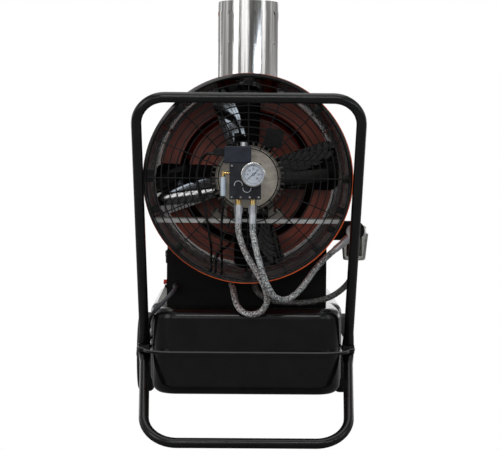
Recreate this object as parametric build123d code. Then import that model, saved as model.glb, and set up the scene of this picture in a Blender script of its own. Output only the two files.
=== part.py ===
from build123d import *
import math
import os

# Indirect-fired forced air heater on wheels, in millimetres.
# Origin on the floor at the middle of the footprint, +Z up, +Y towards the warm air outlet,
# so the fan inlet faces -Y. A depth is counted forwards from the plane of the inlet rim.

os.makedirs("parts", exist_ok=True)

# ---- Drum and what stands on it
drum_axis_z = 623.0
drum_r = 247.5
drum_wall = 1.5
drum_length = 850.0
bead_width = 2.6
bead_gap = 0.1
lip_width = 7.0
lip_length = 6.0
lip_round = 0.5
cover_sheet = 1.2
cover_r = 246.3
cover_off_x = -0.8
cover_off_z = 0.7
shroud_wall = 1.5
shroud_start = 8.0
shroud_end = 238.0
cone_length = 100.0
spigot_length = 30.0
spigot_r = 200.0
nozzle_lap = 20.0
flue_r = 77.0
flue_wall = 1.5
flue_depth = 340.0
flue_top_z = 1066.0
flue_end_r = 76.2
flue_end_length = 25.0
flue_gap = 0.3
collar_width = 15.0
collar_height = 3.0
slot_count = 8
slot_width = 18.0
slot_height = 85.0
slot_below_end = 0.5
slot_press = 1.8
slot_turn = 10.4

# ---- Fan guard
guard_inner_r = 70.5
guard_pitch = 16.8
guard_rings = 11
guard_spokes = 16
wire_r = 1.5
ring_depth = 4.8
wire_weld = 0.4
guard_tabs = 8
tab_side = 20.0
tab_gap = 0.3
tab_sheet = 2.0
guard_bolt_r = 229.5
guard_bolt_angles = (176.7, 198.7, 329.0, 341.3)
guard_washer_r = 6.5
guard_head_r = 4.5
lug_side = 16.0
lug_length = 4.0

# ---- Motor, shelf and fan
shelf_top_z = 524.0
shelf_back = 80.0
shelf_front = 170.0
shelf_sheet = 3.0
shelf_lip = 9.5
shelf_gap = 0.2
motor_face = 32.0
bell_length = 20.0
bell_r = 79.0
bell_rim = 4.0
bell_step = 3.0
motor_r = 76.0
motor_length = 98.0
front_bell_length = 15.0
front_bell_r = 70.0
fin_count = 40
fin_r = 87.0
fin_sheet = 2.6
foot_x = 68.0
foot_half = 18.0
foot_bolt_x = 73.5
foot_height = 18.0
foot_inset = 10.0
foot_web = 12.0
terminal_box_size = (42.0, 56.0, 44.0)
terminal_box_turn = -12.0
terminal_box_x = 62.0
terminal_box_z = 96.0
terminal_neck_r = 12.0
cable_boss_x = -27.0
cable_boss_depth = 100.0
cable_boss_z = 532.0
cable_boss_r = 7.0
shaft_r = 7.0
running_gap = 0.05
fan_r = 228.0
fan_back = 180.0
fan_front = 236.0
hub_r = 42.0
blade_count = 4
blade_sheet = 2.5
blade_root = 60.0
blade_tip = 144.0
blade_pitch = 21.0
blade_camber_r = 240.0
blade_rise = 6.0
blade_corner = 20.0
blade_turn = 8.0

# ---- Pump group, placed from the drum axis
pump_x = -7.0
pump_drop = 6.0
pump_width = 68.0
pump_height = 78.0
pump_back = -45.0
pump_front = 22.0
pump_spigot_r = 27.0
plate_width = 74.0
plate_height = 84.0
plate_sheet = 3.0
screw_r = 2.2
screw_head = 1.6
screw_inset = 5.5
adjuster_r = 7.5
adjuster_height = 1.5
coil_width = 63.0
coil_height = 40.0
coil_length = 34.0
coil_left = 49.5
coil_nut_r = 6.5
coil_nut_height = 9.0
connector_width = 24.0
connector_height = 18.0
gauge_x = 11.0
gauge_z = 10.6
gauge_r = 28.2
gauge_length = 28.0
gauge_stem = 10.0
gauge_stem_r = 6.0
bezel_width = 3.2
dial_sheet = 1.0
dial_sunk = 7.0
lens_sheet = 1.5
lens_sunk = 1.0
post_r = 1.4
pointer_gap = 0.05
pointer_hub_r = 3.0
pointer_sheet = 1.0
pointer_tip = 19.0
pointer_tail = 9.0
pointer_angle = 217.0
elbow_reach = 17.0
elbow_r = 3.6
elbow_rise = 10.0
elbow_drop = 9.0
port_depth = -16.0
port_x = (-22.8, 11.2)
union_r = 6.5
union_length = 16.0
hex_r = 10.0
hex_length = 20.0
ferrule_r = 8.4
ferrule_length = 24.0
hose_d = 14.5
cable_d = 6.0
line_d = 6.0

# ---- Furnace inside the drum
exchanger_r = 215.0
exchanger_inner_r = 172.0
exchanger_back = 258.0
exchanger_front = 790.0
exchanger_wall = 2.0
strut_count = 3
strut_width = 30.0
strut_sheet = 3.0
chamber_r = 150.0
chamber_wall = 2.0
chamber_back = 300.0
chamber_front = 775.0
deflector_length = 60.0
deflector_r = 186.0
crossover_r = 40.0
crossover_depth = 700.0
burner_r = 62.0
burner_wall = 2.0
burner_back = 264.0
burner_bore_r = 52.0
nozzle_r = 9.0
nozzle_tip_r = 4.0
nozzle_back = 243.0
nozzle_length = 80.0
feed_boss_r = 5.0
feed_boss_z = 609.0
electrode_r = 1.5
electrode_x = 14.0

# ---- Support box, switch side and filter
box_half = 195.0
box_back = 150.0
cap_room = 37.0
box_sheet = 2.0
box_gap = 0.2
saddle_half = 120.0
saddle_back = 655.0
saddle_front = 690.0
panel_back = 168.0
panel_front = 400.0
panel_low = 3.0
panel_high = 135.0
panel_sheet = 2.0
knob_r = 17.0
knob_height = 10.0
knob_depth = 350.0
knob_z = 414.0
spindle_r = 3.0
spindle_length = 9.0
switch_depth = 285.0
switch_z = 414.0
switch_half_depth = 14.0
switch_half_height = 10.5
switch_frame = 2.5
switch_frame_height = 2.0
rocker_gap = 0.4
rocker_height = 5.5
rocker_pin_r = 1.0
rocker_turn = 10.0
button_depth = 262.0
button_z = 356.0
button_r = 6.0
button_collar_r = 9.0
button_collar_height = 4.0
button_stand = 8.0
button_travel = 3.0
button_gap = 0.3
lid_back = 182.0
lid_front = 236.0
lid_top_z = 352.0
lid_low_z = 312.0
lid_top_reach = 7.0
lid_low_reach = 24.0
lid_sheet = 2.0
lid_gap = 0.4
lid_pin_r = 1.5
gland_inset = 23.5
gland_z = 355.0
gland_r = 12.0
gland_length = 16.0
gland_tail = 12.0
transformer_size = (96.0, 120.0, 55.0)
transformer_x = -117.0
transformer_back = 154.0
bracket_x = 283.0
bracket_low_z = 474.0
bracket_high_z = 521.0
bracket_depth = 95.0
bracket_sheet = 3.0
bracket_round = 23.2
bracket_flange = 26.0
filter_x = 261.5
filter_depth = 135.0
bowl_top_z = 488.0
bowl_low_z = 424.0
bowl_top_r = 34.0
bowl_low_r = 27.0
bowl_wall = 2.5
head_r = 30.0
head_height = 22.0
head_round = 12.0
boss_x = 256.0
boss_half = 10.0
boss_back = 79.0
boss_top_z = 505.0
banjo_x = 252.5
banjo_r = 15.5
banjo_length = 15.0
banjo_z = 497.4
filter_nut_x = 244.0
filter_nut_depth = 68.5
filter_nut_z = 482.0
element_r = 19.0
element_length = 52.0
inlet_z = 466.0
stem_r = 5.0

# ---- Tank
tank_bottom_z = 100.0
seam_z = 204.0
tank_top_z = 309.0
tank_back = 60.0
tank_front = 715.0
tank_half = 239.0
tank_nose_half = 228.0
shoulder_depth = 195.0
tank_wall = 2.0
nose_round = 60.0
shoulder_round = 45.0
crown_round = 24.0
flange_sheet = 4.0
flange_reach = 15.0
flange_half = 252.0
flange_round = 75.0
ear_half = 266.0
ear_margin = 12.0
carrier_ear_half = 262.0
filler_x = -165.0
filler_depth = 628.0
filler_r = 24.0
filler_height = 14.0
filler_wall = 2.0
cap_r = 31.0
cap_height = 20.0
cap_wall = 2.5
cap_gap = 0.3
cap_grips = 24

# ---- Tube frame
tube_d = 24.0
handle_reach = 149.0
handle_bar_z = 807.0
handle_half = 256.5
handle_round = 66.0
foot_half_width = 248.7
foot_depth = 135.0
stand_reach = 83.0
stand_half = 238.0
stand_round = 80.0
flat_width = 32.0
flat_sheet = 6.0
flat_length = 60.0
flat_run = 42.0
foot_bolts = (15.0, 42.0)
bolt_r = 4.0
bolt_head_r = 7.5
bolt_head = 5.5
bolt_gap = 0.3

# ---- Wheels and axle
wheel_r = 112.5
tyre_width = 45.0
wheel_half_track = 279.5
tyre_bore_r = 82.0
tyre_round = 14.0
axle_depth = 770.0
axle_r = 8.0
hub_boss_r = 21.0
hub_boss_length = 47.0
rim_web = 6.0
rim_ring = 5.0
rim_holes = 5
rim_hole_r = 15.0
rim_hole_at = 50.0
hub_gap = 0.3
axle_head_r = 13.0
axle_head = 5.5
carrier_x = 239.3
carrier_sheet = 4.0
carrier_back = 640.0
carrier_tab = 60.0
carrier_bolt_x = 251.5
carrier_bolts = (15.0, 42.0)
carrier_eye_r = 24.0

# ---- Mains lead
lead_d = 9.0
coil_mid_r = 50.0
coil_x = -31.75
coil_depth = 872.0
coil_layers = 2
plug_r = 19.0
plug_length = 36.0
plug_neck = 22.0
pin_r = 2.4
pin_length = 19.0
pin_half = 9.5
pin_gap = 0.4

arc_share = 0.45

overall_length = handle_reach + tube_d / 2 + drum_length + cone_length + spigot_length
rim_y = handle_reach + tube_d / 2 - overall_length / 2
drum_bore_r = drum_r - drum_wall
shroud_bore_r = drum_bore_r - shroud_wall
tab_reach_r = drum_r - lip_width / 2 - 1
pump_z = drum_axis_z - pump_drop
box_front = filler_depth - cap_r - cap_room
gland_x = gland_inset - box_half
flange_top_z = seam_z + flange_sheet
flange_low_z = seam_z - flange_sheet
plate_back = pump_back - plate_sheet
BACKWARDS = (0, -1, 0)
FORWARDS = (0, 1, 0)
UPWARDS = (0, 0, 1)
DOWNWARDS = (0, 0, -1)


def deep(depth):
    """Y of a depth counted from the inlet rim."""
    return rim_y + depth


def place(x, depth, z):
    return (x, deep(depth), z)


def facing(depth, x=0.0, z=0.0):
    """Plane that looks out of the inlet: local x is X and local y is Z."""
    return Plane(origin=place(x, depth, z), x_dir=(1, 0, 0), z_dir=BACKWARDS)


def rod(radius, length, start, direction):
    return Solid.make_cylinder(radius, length, Plane(origin=start, z_dir=direction))


def tube(outer_r, inner_r, length, start, direction):
    return rod(outer_r, length, start, direction) - rod(inner_r, length, start, direction)


def block(low, high):
    size = [top - bottom for bottom, top in zip(low, high)]
    return Pos(*low) * Box(*size, align=(Align.MIN, Align.MIN, Align.MIN))


def hexagon(radius, length, start, direction):
    return extrude(Plane(origin=start, z_dir=direction) * RegularPolygon(radius, 6), amount=length)


def on_axis(depth, radius=0.0, angle=0.0):
    """Point beside the drum axis, with the angle seen from the inlet."""
    across = radius * math.cos(math.radians(angle))
    up = radius * math.sin(math.radians(angle))
    return place(across, depth, drum_axis_z + up)


def save(name, *shapes):
    solids = [solid for shape in shapes for solid in shape.solids()]
    whole = solids[0] if len(solids) == 1 else Compound(solids)
    export_step(whole, f"parts/{name}.step")


def tangent_arcs(points):
    """The largest tangent arc that each pair of runs leaves room for."""
    runs = [Vector(*after) - Vector(*before) for before, after in zip(points, points[1:])]
    room = [arc_share * run.length for run in runs]
    room[0] = 2 * room[0]
    room[-1] = 2 * room[-1]
    radii = []
    for index in range(len(runs) - 1):
        half_turn = math.radians(runs[index].get_angle(runs[index + 1])) / 2
        radii.append(min(room[index], room[index + 1]) / math.tan(half_turn))
    return radii


def flexible(name, route, diameter):
    """Round cord, hose or pipe along straight runs joined by tangent arcs."""
    points = [place(*point) for point in route]
    radii = tangent_arcs(points)
    path = FilletPolyline(*points, radius=radii)
    start = Plane(origin=path @ 0, z_dir=path % 0)
    body = sweep(start * Circle(diameter / 2), path=path)
    expected = path.length * math.pi * diameter ** 2 / 4
    print(name, "length", round(path.length), "volume ratio", round(body.volume / expected, 4),
          "radii", [round(radius) for radius in radii])
    return body


# ---------------------------------------------------------------- drum

def drum_shell():
    """Rolled casing with a beaded edge at the inlet and holes for the flue and the services."""
    start = on_axis(0)
    shell = tube(drum_r, drum_bore_r, drum_length, start, FORWARDS)
    shell = shell + tube(drum_r, drum_r - bead_width, lip_length, start, FORWARDS)
    flue_hole = rod(flue_r + flue_gap, drum_r + lip_width, on_axis(flue_depth), UPWARDS)
    return shell - flue_hole - service_slot() - line_hole()


def service_slot():
    """Slot in the drum's underside where the cables and the fuel line leave it."""
    slot_x = -75.0
    slot_length = 44.0
    slot_across = 14.0
    middle = Plane(origin=place(slot_x, service_depth, drum_axis_z), z_dir=DOWNWARDS)
    return extrude(middle * SlotCenterToCenter(slot_length, slot_across), amount=drum_r + lip_width)


def line_hole():
    return rod(line_d / 2 + line_room, drum_r + lip_width, place(line_x, line_depth, drum_axis_z), DOWNWARDS)


service_depth = 166.0
line_x = 0.0
line_room = 1.2
line_depth = 251.0


def inlet_shroud():
    """Dark inner ring that the fan runs in, with a lip over the drum's edge and lugs for the guard."""
    length = shroud_end - shroud_start
    ring = tube(drum_bore_r, shroud_bore_r, length, on_axis(shroud_start), FORWARDS)
    lip_r = drum_r - bead_width - bead_gap
    ring = ring + tube(lip_r, drum_r - lip_width, lip_length, on_axis(0), FORWARDS)
    step_start = on_axis(lip_length - cover_sheet)
    step = tube(lip_r, tab_reach_r + tab_gap, cover_sheet, step_start, FORWARDS)
    step = step + tube(drum_bore_r, tab_reach_r + tab_gap, shroud_start - lip_length, on_axis(lip_length), FORWARDS)
    centre = place(cover_off_x, -cover_sheet, drum_axis_z + cover_off_z)
    cover = tube(cover_r, drum_r - lip_width + lip_round, cover_sheet, centre, FORWARDS)
    cover = fillet(cover.edges().group_by(Axis.Y)[0], lip_round)
    ring = ring + step + cover
    for angle in guard_bolt_angles:
        reach = shroud_bore_r + shroud_wall / 2 - (guard_bolt_r - lug_side / 2)
        lug = Pos(guard_bolt_r - lug_side / 2, 0, 0) * Box(
            reach, lug_side, lug_length, align=(Align.MIN, Align.CENTER, Align.MIN))
        ring = ring + facing(shroud_start + lug_length, 0, drum_axis_z) * Rot(0, 0, angle) * lug
    for angle in guard_bolt_angles:
        ring = ring - rod(bolt_shank_r, lug_length, on_axis(shroud_start, guard_bolt_r, angle), FORWARDS)
    return ring - service_slot()


bolt_shank_r = 2.5


def fan_guard():
    """Welded wire guard: rings, spokes on their outer side and square fixing tabs."""
    outer_r = guard_inner_r + guard_pitch * (guard_rings - 1)
    guard = None
    spoke_depth = ring_depth - 2 * wire_r + wire_weld
    for step in range(guard_spokes):
        angle = 360 * step / guard_spokes
        start = on_axis(spoke_depth, guard_inner_r - wire_r, angle)
        direction = Vector(*on_axis(spoke_depth, outer_r, angle)) - Vector(*start)
        spoke = rod(wire_r, outer_r - guard_inner_r + 2 * wire_r, start, direction)
        guard = spoke if guard is None else guard + spoke
    rings = []
    for step in range(guard_rings):
        centre = Plane(origin=on_axis(ring_depth), z_dir=FORWARDS)
        rings.append(Solid.make_torus(guard_inner_r + guard_pitch * step, wire_r, centre))
    guard = guard + rings
    tab_back = lip_length
    corner_rise = tab_reach_r - math.sqrt(tab_reach_r ** 2 - tab_side ** 2 / 4)
    for step in range(guard_tabs):
        angle = 360 * step / guard_tabs
        tab = Pos(tab_reach_r - corner_rise - tab_side, 0, 0) * Box(
            tab_side, tab_side, tab_sheet, align=(Align.MIN, Align.CENTER, Align.MIN))
        guard = guard + facing(tab_back + tab_sheet, 0, drum_axis_z) * Rot(0, 0, angle) * tab
    return guard


def outlet_nozzle():
    """Cone and straight spigot for the warm air, lapped inside the drum."""
    lap = tube(drum_bore_r, drum_bore_r - drum_wall, nozzle_lap, on_axis(drum_length - nozzle_lap), FORWARDS)
    start = Plane(origin=on_axis(drum_length), z_dir=FORWARDS)
    cone = Solid.make_cone(drum_bore_r, spigot_r, cone_length, start)
    inside = Solid.make_cone(drum_bore_r - drum_wall, spigot_r - drum_wall, cone_length, start)
    spigot = tube(spigot_r, spigot_r - drum_wall, spigot_length, on_axis(drum_length + cone_length), FORWARDS)
    return lap + (cone - inside) + spigot


def flue_slot(outer_r, inner_r, width, height, angle):
    """Upright slot cut out of a ring of wall, as a pressed panel."""
    middle_z = flue_top_z - flue_end_length - slot_below_end - slot_height / 2
    turn = math.radians(angle)
    outwards = (math.sin(turn), -math.cos(turn), 0)
    plane = Plane(origin=place(0, flue_depth, middle_z), x_dir=UPWARDS, z_dir=outwards)
    prism = extrude(plane * SlotOverall(height, width), amount=outer_r + slot_press)
    ring = tube(outer_r, inner_r, height, place(0, flue_depth, middle_z - height / 2), UPWARDS)
    return ring & prism


def flue_pipe():
    """Polished spigot with eight pressed slots and a drawn-in end, standing on the heat exchanger."""
    bottom_z = drum_axis_z + exchanger_inner_r
    shoulder_z = flue_top_z - flue_end_length
    pipe = tube(flue_r, flue_r - flue_wall, shoulder_z - bottom_z, place(0, flue_depth, bottom_z), UPWARDS)
    shoulder = tube(flue_r, flue_end_r - flue_wall, flue_wall, place(0, flue_depth, shoulder_z - flue_wall), UPWARDS)
    end = tube(flue_end_r, flue_end_r - flue_wall, flue_end_length, place(0, flue_depth, shoulder_z), UPWARDS)
    pipe = pipe + shoulder + end
    for step in range(slot_count):
        angle = slot_turn + 360 * step / slot_count
        inner_r = flue_r - flue_wall - slot_press
        pad = flue_slot(flue_r - flue_wall / 2, inner_r, slot_width + 2 * flue_wall,
                        slot_height + 2 * flue_wall, angle)
        groove = flue_slot(flue_r + flue_wall, flue_r - slot_press, slot_width, slot_height, angle)
        pipe = pipe + pad - groove
    return pipe - rod(exchanger_r, drum_length, on_axis(0), FORWARDS)


def flue_collar():
    """Saddle ring that closes the drum round the flue."""
    reach = drum_r + 2 * collar_height
    ring = tube(flue_r + flue_gap + collar_width, flue_r + flue_gap, reach, on_axis(flue_depth), UPWARDS)
    skin = tube(drum_r + collar_height, drum_r, drum_length, on_axis(0), FORWARDS)
    return ring & skin


# ---------------------------------------------------------------- furnace

def heat_exchanger():
    """Hollow ring that the flue gas turns through, on struts in the drum."""
    length = exchanger_front - exchanger_back
    outside = tube(exchanger_r, exchanger_inner_r, length, on_axis(exchanger_back), FORWARDS)
    inside = tube(exchanger_r - exchanger_wall, exchanger_inner_r + exchanger_wall,
                  length - 2 * exchanger_wall, on_axis(exchanger_back + exchanger_wall), FORWARDS)
    shell = outside - inside
    shell = shell - rod(flue_r - flue_wall, drum_r, on_axis(flue_depth), UPWARDS)
    for side in (1, -1):
        shell = shell - rod(crossover_r, exchanger_inner_r + 2 * exchanger_wall,
                            on_axis(crossover_depth), (side, 0, 0))
    for end in (exchanger_back + strut_width, exchanger_front - 2 * strut_width):
        for step in range(strut_count):
            turn = 90 + 360 * (step + 0.5) / strut_count
            strut = Pos(exchanger_r - exchanger_wall / 2, 0, 0) * Box(
                drum_bore_r - box_gap - exchanger_r + exchanger_wall / 2, strut_sheet, strut_width,
                align=(Align.MIN, Align.CENTER, Align.MIN))
            shell = shell + facing(end + strut_width, 0, drum_axis_z) * Rot(0, 0, turn) * strut
    return shell


def combustion_chamber():
    """Closed cylinder with the burner opening, two gas crossovers and a flared air deflector."""
    length = chamber_front - chamber_back
    outside = rod(chamber_r, length, on_axis(chamber_back), FORWARDS)
    inside = rod(chamber_r - chamber_wall, length - 2 * chamber_wall,
                 on_axis(chamber_back + chamber_wall), FORWARDS)
    reach = exchanger_inner_r
    ducts = [rod(crossover_r, reach, on_axis(crossover_depth), (side, 0, 0)) for side in (1, -1)]
    bores = [rod(crossover_r - chamber_wall, reach, on_axis(crossover_depth), (side, 0, 0)) for side in (1, -1)]
    limit = rod(exchanger_inner_r - box_gap, drum_length, on_axis(0), FORWARDS)
    chamber = (outside + ducts) & limit
    chamber = chamber - inside - bores
    rim = Plane(origin=on_axis(chamber_front - chamber_wall), z_dir=FORWARDS)
    flare = Solid.make_cone(chamber_r, deflector_r, deflector_length, rim)
    chamber = chamber + (flare - Solid.make_cone(chamber_r - chamber_wall, deflector_r - chamber_wall,
                                                 deflector_length, rim))
    return chamber - rod(burner_bore_r, 2 * chamber_wall, on_axis(chamber_back - chamber_wall), FORWARDS)


def burner_head():
    """Air cup on the chamber's mouth, and the nozzle stock with its two electrodes."""
    length = chamber_back - burner_back
    cup = rod(burner_r, length, on_axis(burner_back), FORWARDS)
    cup = cup - rod(burner_r - burner_wall, length - burner_wall, on_axis(burner_back + burner_wall), FORWARDS)
    cup = cup - rod(nozzle_r, 2 * burner_wall, on_axis(burner_back - burner_wall), FORWARDS)
    stock = rod(nozzle_r, nozzle_length, on_axis(nozzle_back), FORWARDS)
    tip = rod(nozzle_tip_r, nozzle_r, on_axis(nozzle_back + nozzle_length), FORWARDS)
    boss = rod(feed_boss_r, drum_axis_z - feed_boss_z, on_axis(line_depth), DOWNWARDS)
    cup = cup - [rod(electrode_r, 2 * burner_wall, place(side * electrode_x, burner_back - burner_wall,
                                                        drum_axis_z), FORWARDS) for side in (1, -1)]
    electrodes = [rod(electrode_r, nozzle_length - nozzle_r, place(side * electrode_x, burner_back, drum_axis_z), FORWARDS)
                  for side in (1, -1)]
    return cup, stock + tip + boss, electrodes


# ---------------------------------------------------------------- motor and fan

def motor_shelf():
    """Folded cross shelf whose ends meet the shroud."""
    half = shroud_bore_r
    top = block(place(-half, shelf_back, shelf_top_z - shelf_lip), place(half, shelf_front, shelf_top_z))
    under = block(place(-half, shelf_back + shelf_sheet, shelf_top_z - shelf_lip),
                  place(half, shelf_front - shelf_sheet, shelf_top_z - shelf_sheet))
    shelf = (top - under) & rod(shroud_bore_r - shelf_gap, drum_length, on_axis(0), FORWARDS)
    for x in (foot_bolt_x, -foot_bolt_x):
        for depth in motor_bolt_depths():
            shelf = shelf - rod(bolt_r + bolt_gap, 2 * shelf_lip, place(x, depth, shelf_top_z - shelf_lip), UPWARDS)
    hole_start = place(cable_boss_x, cable_boss_depth, shelf_top_z - shelf_lip)
    return shelf - rod(cable_d / 2 + line_room, 2 * shelf_lip, hole_start, UPWARDS)


def motor_bolt_depths():
    start = motor_face + bell_length + foot_inset
    end = motor_face + bell_length + motor_length - foot_inset
    margin = foot_half * 2 / 3
    return (max(start, shelf_back) + margin, min(end, shelf_front) - margin)


def motor_end_bell():
    """Domed end cover that faces the inlet, bored for the shaft."""
    bell = rod(bell_r, bell_length, on_axis(motor_face), FORWARDS)
    bell = fillet(bell.edges().group_by(Axis.Y)[0], bell_rim)
    dish = tube(bell_r - 3 * bell_rim, pump_spigot_r + bell_rim, bell_step, on_axis(motor_face), FORWARDS)
    bell = bell - dish
    return bell - rod(shaft_r + running_gap, bell_length, on_axis(motor_face), FORWARDS)


def motor_housing():
    """Finned barrel with two feet, a front bearing cover and a bored core."""
    start = motor_face + bell_length
    profile = Circle(motor_r)
    for step in range(fin_count):
        fin = Pos((motor_r + fin_r) / 2 - fin_sheet / 2, 0) * Rectangle(fin_r - motor_r + fin_sheet, fin_sheet)
        profile = profile + Rot(0, 0, 360 * step / fin_count) * fin
    barrel = extrude(facing(start, 0, drum_axis_z) * profile, amount=-motor_length)
    cover = rod(front_bell_r, front_bell_length, on_axis(start + motor_length), FORWARDS)
    housing = barrel + cover
    foot_back = max(start + foot_inset, shelf_back)
    foot_front = min(start + motor_length - foot_inset, shelf_front)
    web_top_z = drum_axis_z - motor_r / 2
    for side in (1, -1):
        inner, outer = sorted((side * (foot_x - foot_half), side * (foot_x + foot_half)))
        foot = block(place(inner, foot_back, shelf_top_z), place(outer, foot_front, shelf_top_z + foot_height))
        web_low, web_high = sorted((side * (foot_x - foot_half), side * (foot_x - foot_half + foot_web)))
        web = block(place(web_low, foot_back, shelf_top_z), place(web_high, foot_front, web_top_z))
        housing = housing + foot + web
        for depth in motor_bolt_depths():
            housing = housing - rod(bolt_r + bolt_gap, 2 * foot_height,
                                    place(side * foot_bolt_x, depth, shelf_top_z), UPWARDS)
    boss_start = place(cable_boss_x, cable_boss_depth, cable_boss_z)
    housing = housing + rod(cable_boss_r, motor_r / 2, boss_start, UPWARDS)
    return housing - rod(shaft_r + running_gap, 2 * drum_length, on_axis(motor_face), FORWARDS)


def terminal_box(housing):
    """Moulded box on a neck at the motor's upper right."""
    width, depth, height = terminal_box_size
    start = motor_face + bell_length + foot_inset
    case = extrude(Rectangle(width, height), amount=-depth)
    case = fillet(case.edges().filter_by(Axis.Z), foot_inset / 2)
    turned = facing(start, terminal_box_x, drum_axis_z + terminal_box_z) * Rot(0, 0, terminal_box_turn) * case
    outwards = Vector(terminal_box_x, 0, terminal_box_z)
    neck = rod(terminal_neck_r, outwards.length, on_axis(start + depth / 2), outwards)
    return turned + neck - housing - rod(motor_r + fin_sheet, motor_length, on_axis(motor_face + bell_length), FORWARDS)


def drive_shaft():
    """Motor shaft from the pump's socket to the fan hub."""
    return rod(shaft_r, fan_front - port_depth, on_axis(port_depth), FORWARDS)


def fan_rotor():
    """Axial fan: pitched and cambered blades with round corners on a hub."""
    hub = rod(hub_r, fan_front - fan_back, on_axis(fan_back), FORWARDS)
    hub = fillet(hub.edges().group_by(Axis.Y)[0], bell_rim)
    limit = rod(fan_r, fan_front - fan_back, on_axis(fan_back), FORWARDS)
    span = fan_r + blade_sheet
    outline = Polygon((-blade_root / 2, hub_r / 2), (blade_root / 2, hub_r / 2),
                      (blade_tip / 2, span), (-blade_tip / 2, span), align=None) & Circle(fan_r)
    outline = fillet(outline.vertices().group_by(Axis.Y)[-1], blade_corner)
    camber = tube(blade_camber_r, blade_camber_r - blade_sheet, span, (0, 0, blade_rise - blade_camber_r), (0, 1, 0))
    sheet = Pos(0, 0, -fan_front / 2) * extrude(outline, amount=fan_front) & camber
    middle = (fan_back + fan_front) / 2
    fan = hub
    for step in range(blade_count):
        turn = blade_turn + 360 * step / blade_count
        pose = facing(middle, 0, drum_axis_z) * Rot(0, 0, turn) * Rot(0, blade_pitch, 0)
        fan = fan + ((pose * sheet) & limit)
    return fan - rod(shaft_r, drum_length, on_axis(0), FORWARDS)


# ---------------------------------------------------------------- pump group

def pump_body():
    """Gear pump with a spigot on the motor, ports below and a socket for the shaft."""
    low = place(pump_x - pump_width / 2, pump_back, pump_z - pump_height / 2)
    high = place(pump_x + pump_width / 2, pump_front, pump_z + pump_height / 2)
    body = block(low, high)
    body = fillet(body.edges().filter_by(Axis.Y), bell_rim)
    spigot = rod(pump_spigot_r, motor_face - pump_front, on_axis(pump_front), FORWARDS)
    socket = rod(shaft_r + running_gap, motor_face - port_depth, on_axis(port_depth), FORWARDS)
    return body + spigot - socket


def pump_face_plate():
    """Cover plate with two round adjusters."""
    low = place(pump_x - plate_width / 2, plate_back, pump_z - plate_height / 2)
    high = place(pump_x + plate_width / 2, pump_back, pump_z + plate_height / 2)
    plate = block(low, high)
    plate = fillet(plate.edges().filter_by(Axis.Y), screw_r)
    across = plate_width / 2 - screw_inset
    for x, z in ((-across / 2, -pump_height / 10), (adjuster_r / 2, -pump_height / 5)):
        start = place(pump_x + x, plate_back, pump_z + z)
        plate = plate + rod(adjuster_r, adjuster_height, start, BACKWARDS)
    return plate


def pump_screws():
    """Six plate screws."""
    across = plate_width / 2 - screw_inset
    up = plate_height / 2 - screw_inset
    spots = [(-across, up), (across, up), (-across, -up), (across, -up), (-across / 3, -up), (across / 3, -up)]
    screws = []
    for x, z in spots:
        start = place(pump_x + x, plate_back, pump_z + z)
        screws.append(rod(screw_r, screw_head, start, BACKWARDS))
    return screws


def solenoid_coil():
    """Square coil block on top of the pump and its plug with a cable exit."""
    top_z = pump_z + plate_height / 2
    left = pump_x - coil_left
    back = pump_back + screw_inset
    coil = block(place(left, back, top_z), place(left + coil_width, back + coil_length, top_z + coil_height))
    coil = fillet(coil.edges(), screw_r)
    plug_low = top_z + coil_height - connector_height - screw_inset
    low = place(left - connector_width, back + screw_inset, plug_low)
    high = place(left, back + coil_length - screw_inset, plug_low + connector_height)
    connector = block(low, high)
    connector = fillet(connector.edges().filter_by(Axis.X), screw_r)
    column = block(place(pump_x - hex_r, back + screw_inset, pump_z + pump_height / 2),
                   place(pump_x + hex_r, back + coil_length - screw_inset, top_z))
    nut_start = place(pump_x - hex_r / 2, back + coil_length / 2, top_z + coil_height)
    nut = hexagon(coil_nut_r, coil_nut_height, nut_start, UPWARDS)
    return coil + column, connector, nut


def gauge_parts():
    """Pressure gauge on a stem in the plate: case, dial with its post, pointer and lens."""
    z = drum_axis_z + gauge_z
    back = plate_back - gauge_stem
    face = back - gauge_length
    case = rod(gauge_r, gauge_length, place(gauge_x, face, z), FORWARDS)
    case = fillet(case.edges().group_by(Axis.Y)[0], bezel_width / 2)
    hollow = rod(gauge_r - bezel_width, dial_sunk + dial_sheet, place(gauge_x, face, z), FORWARDS)
    stem = rod(gauge_stem_r, gauge_stem, place(gauge_x, back, z), FORWARDS)
    case = case - hollow + stem
    dial_face = face + dial_sunk
    dial = rod(gauge_r - bezel_width, dial_sheet, place(gauge_x, dial_face, z), FORWARDS)
    post_length = dial_sunk - lens_sunk - lens_sheet - pointer_sheet
    dial = dial + rod(post_r, post_length, place(gauge_x, dial_face - post_length, z), FORWARDS)
    lens = rod(gauge_r - bezel_width, lens_sheet, place(gauge_x, face + lens_sunk, z), FORWARDS)
    tip = Polygon((0, -pointer_sheet), (pointer_tip, -pointer_sheet / 4),
                  (pointer_tip, pointer_sheet / 4), (0, pointer_sheet), align=None)
    tail = Polygon((0, pointer_sheet), (-pointer_tail, pointer_hub_r / 2),
                   (-pointer_tail, -pointer_hub_r / 2), (0, -pointer_sheet), align=None)
    front = dial_face - post_length + pointer_sheet
    plane = facing(front + pointer_sheet, gauge_x, z) * Rot(0, 0, pointer_angle)
    pointer = extrude(plane * Circle(pointer_hub_r), amount=pointer_sheet)
    pointer = pointer + extrude(plane * tip, amount=pointer_sheet) + extrude(plane * tail, amount=pointer_sheet)
    pointer = pointer - rod(post_r + pointer_gap, 3 * pointer_sheet, place(gauge_x, front - pointer_sheet, z), FORWARDS)
    return case, dial, lens, pointer


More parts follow.
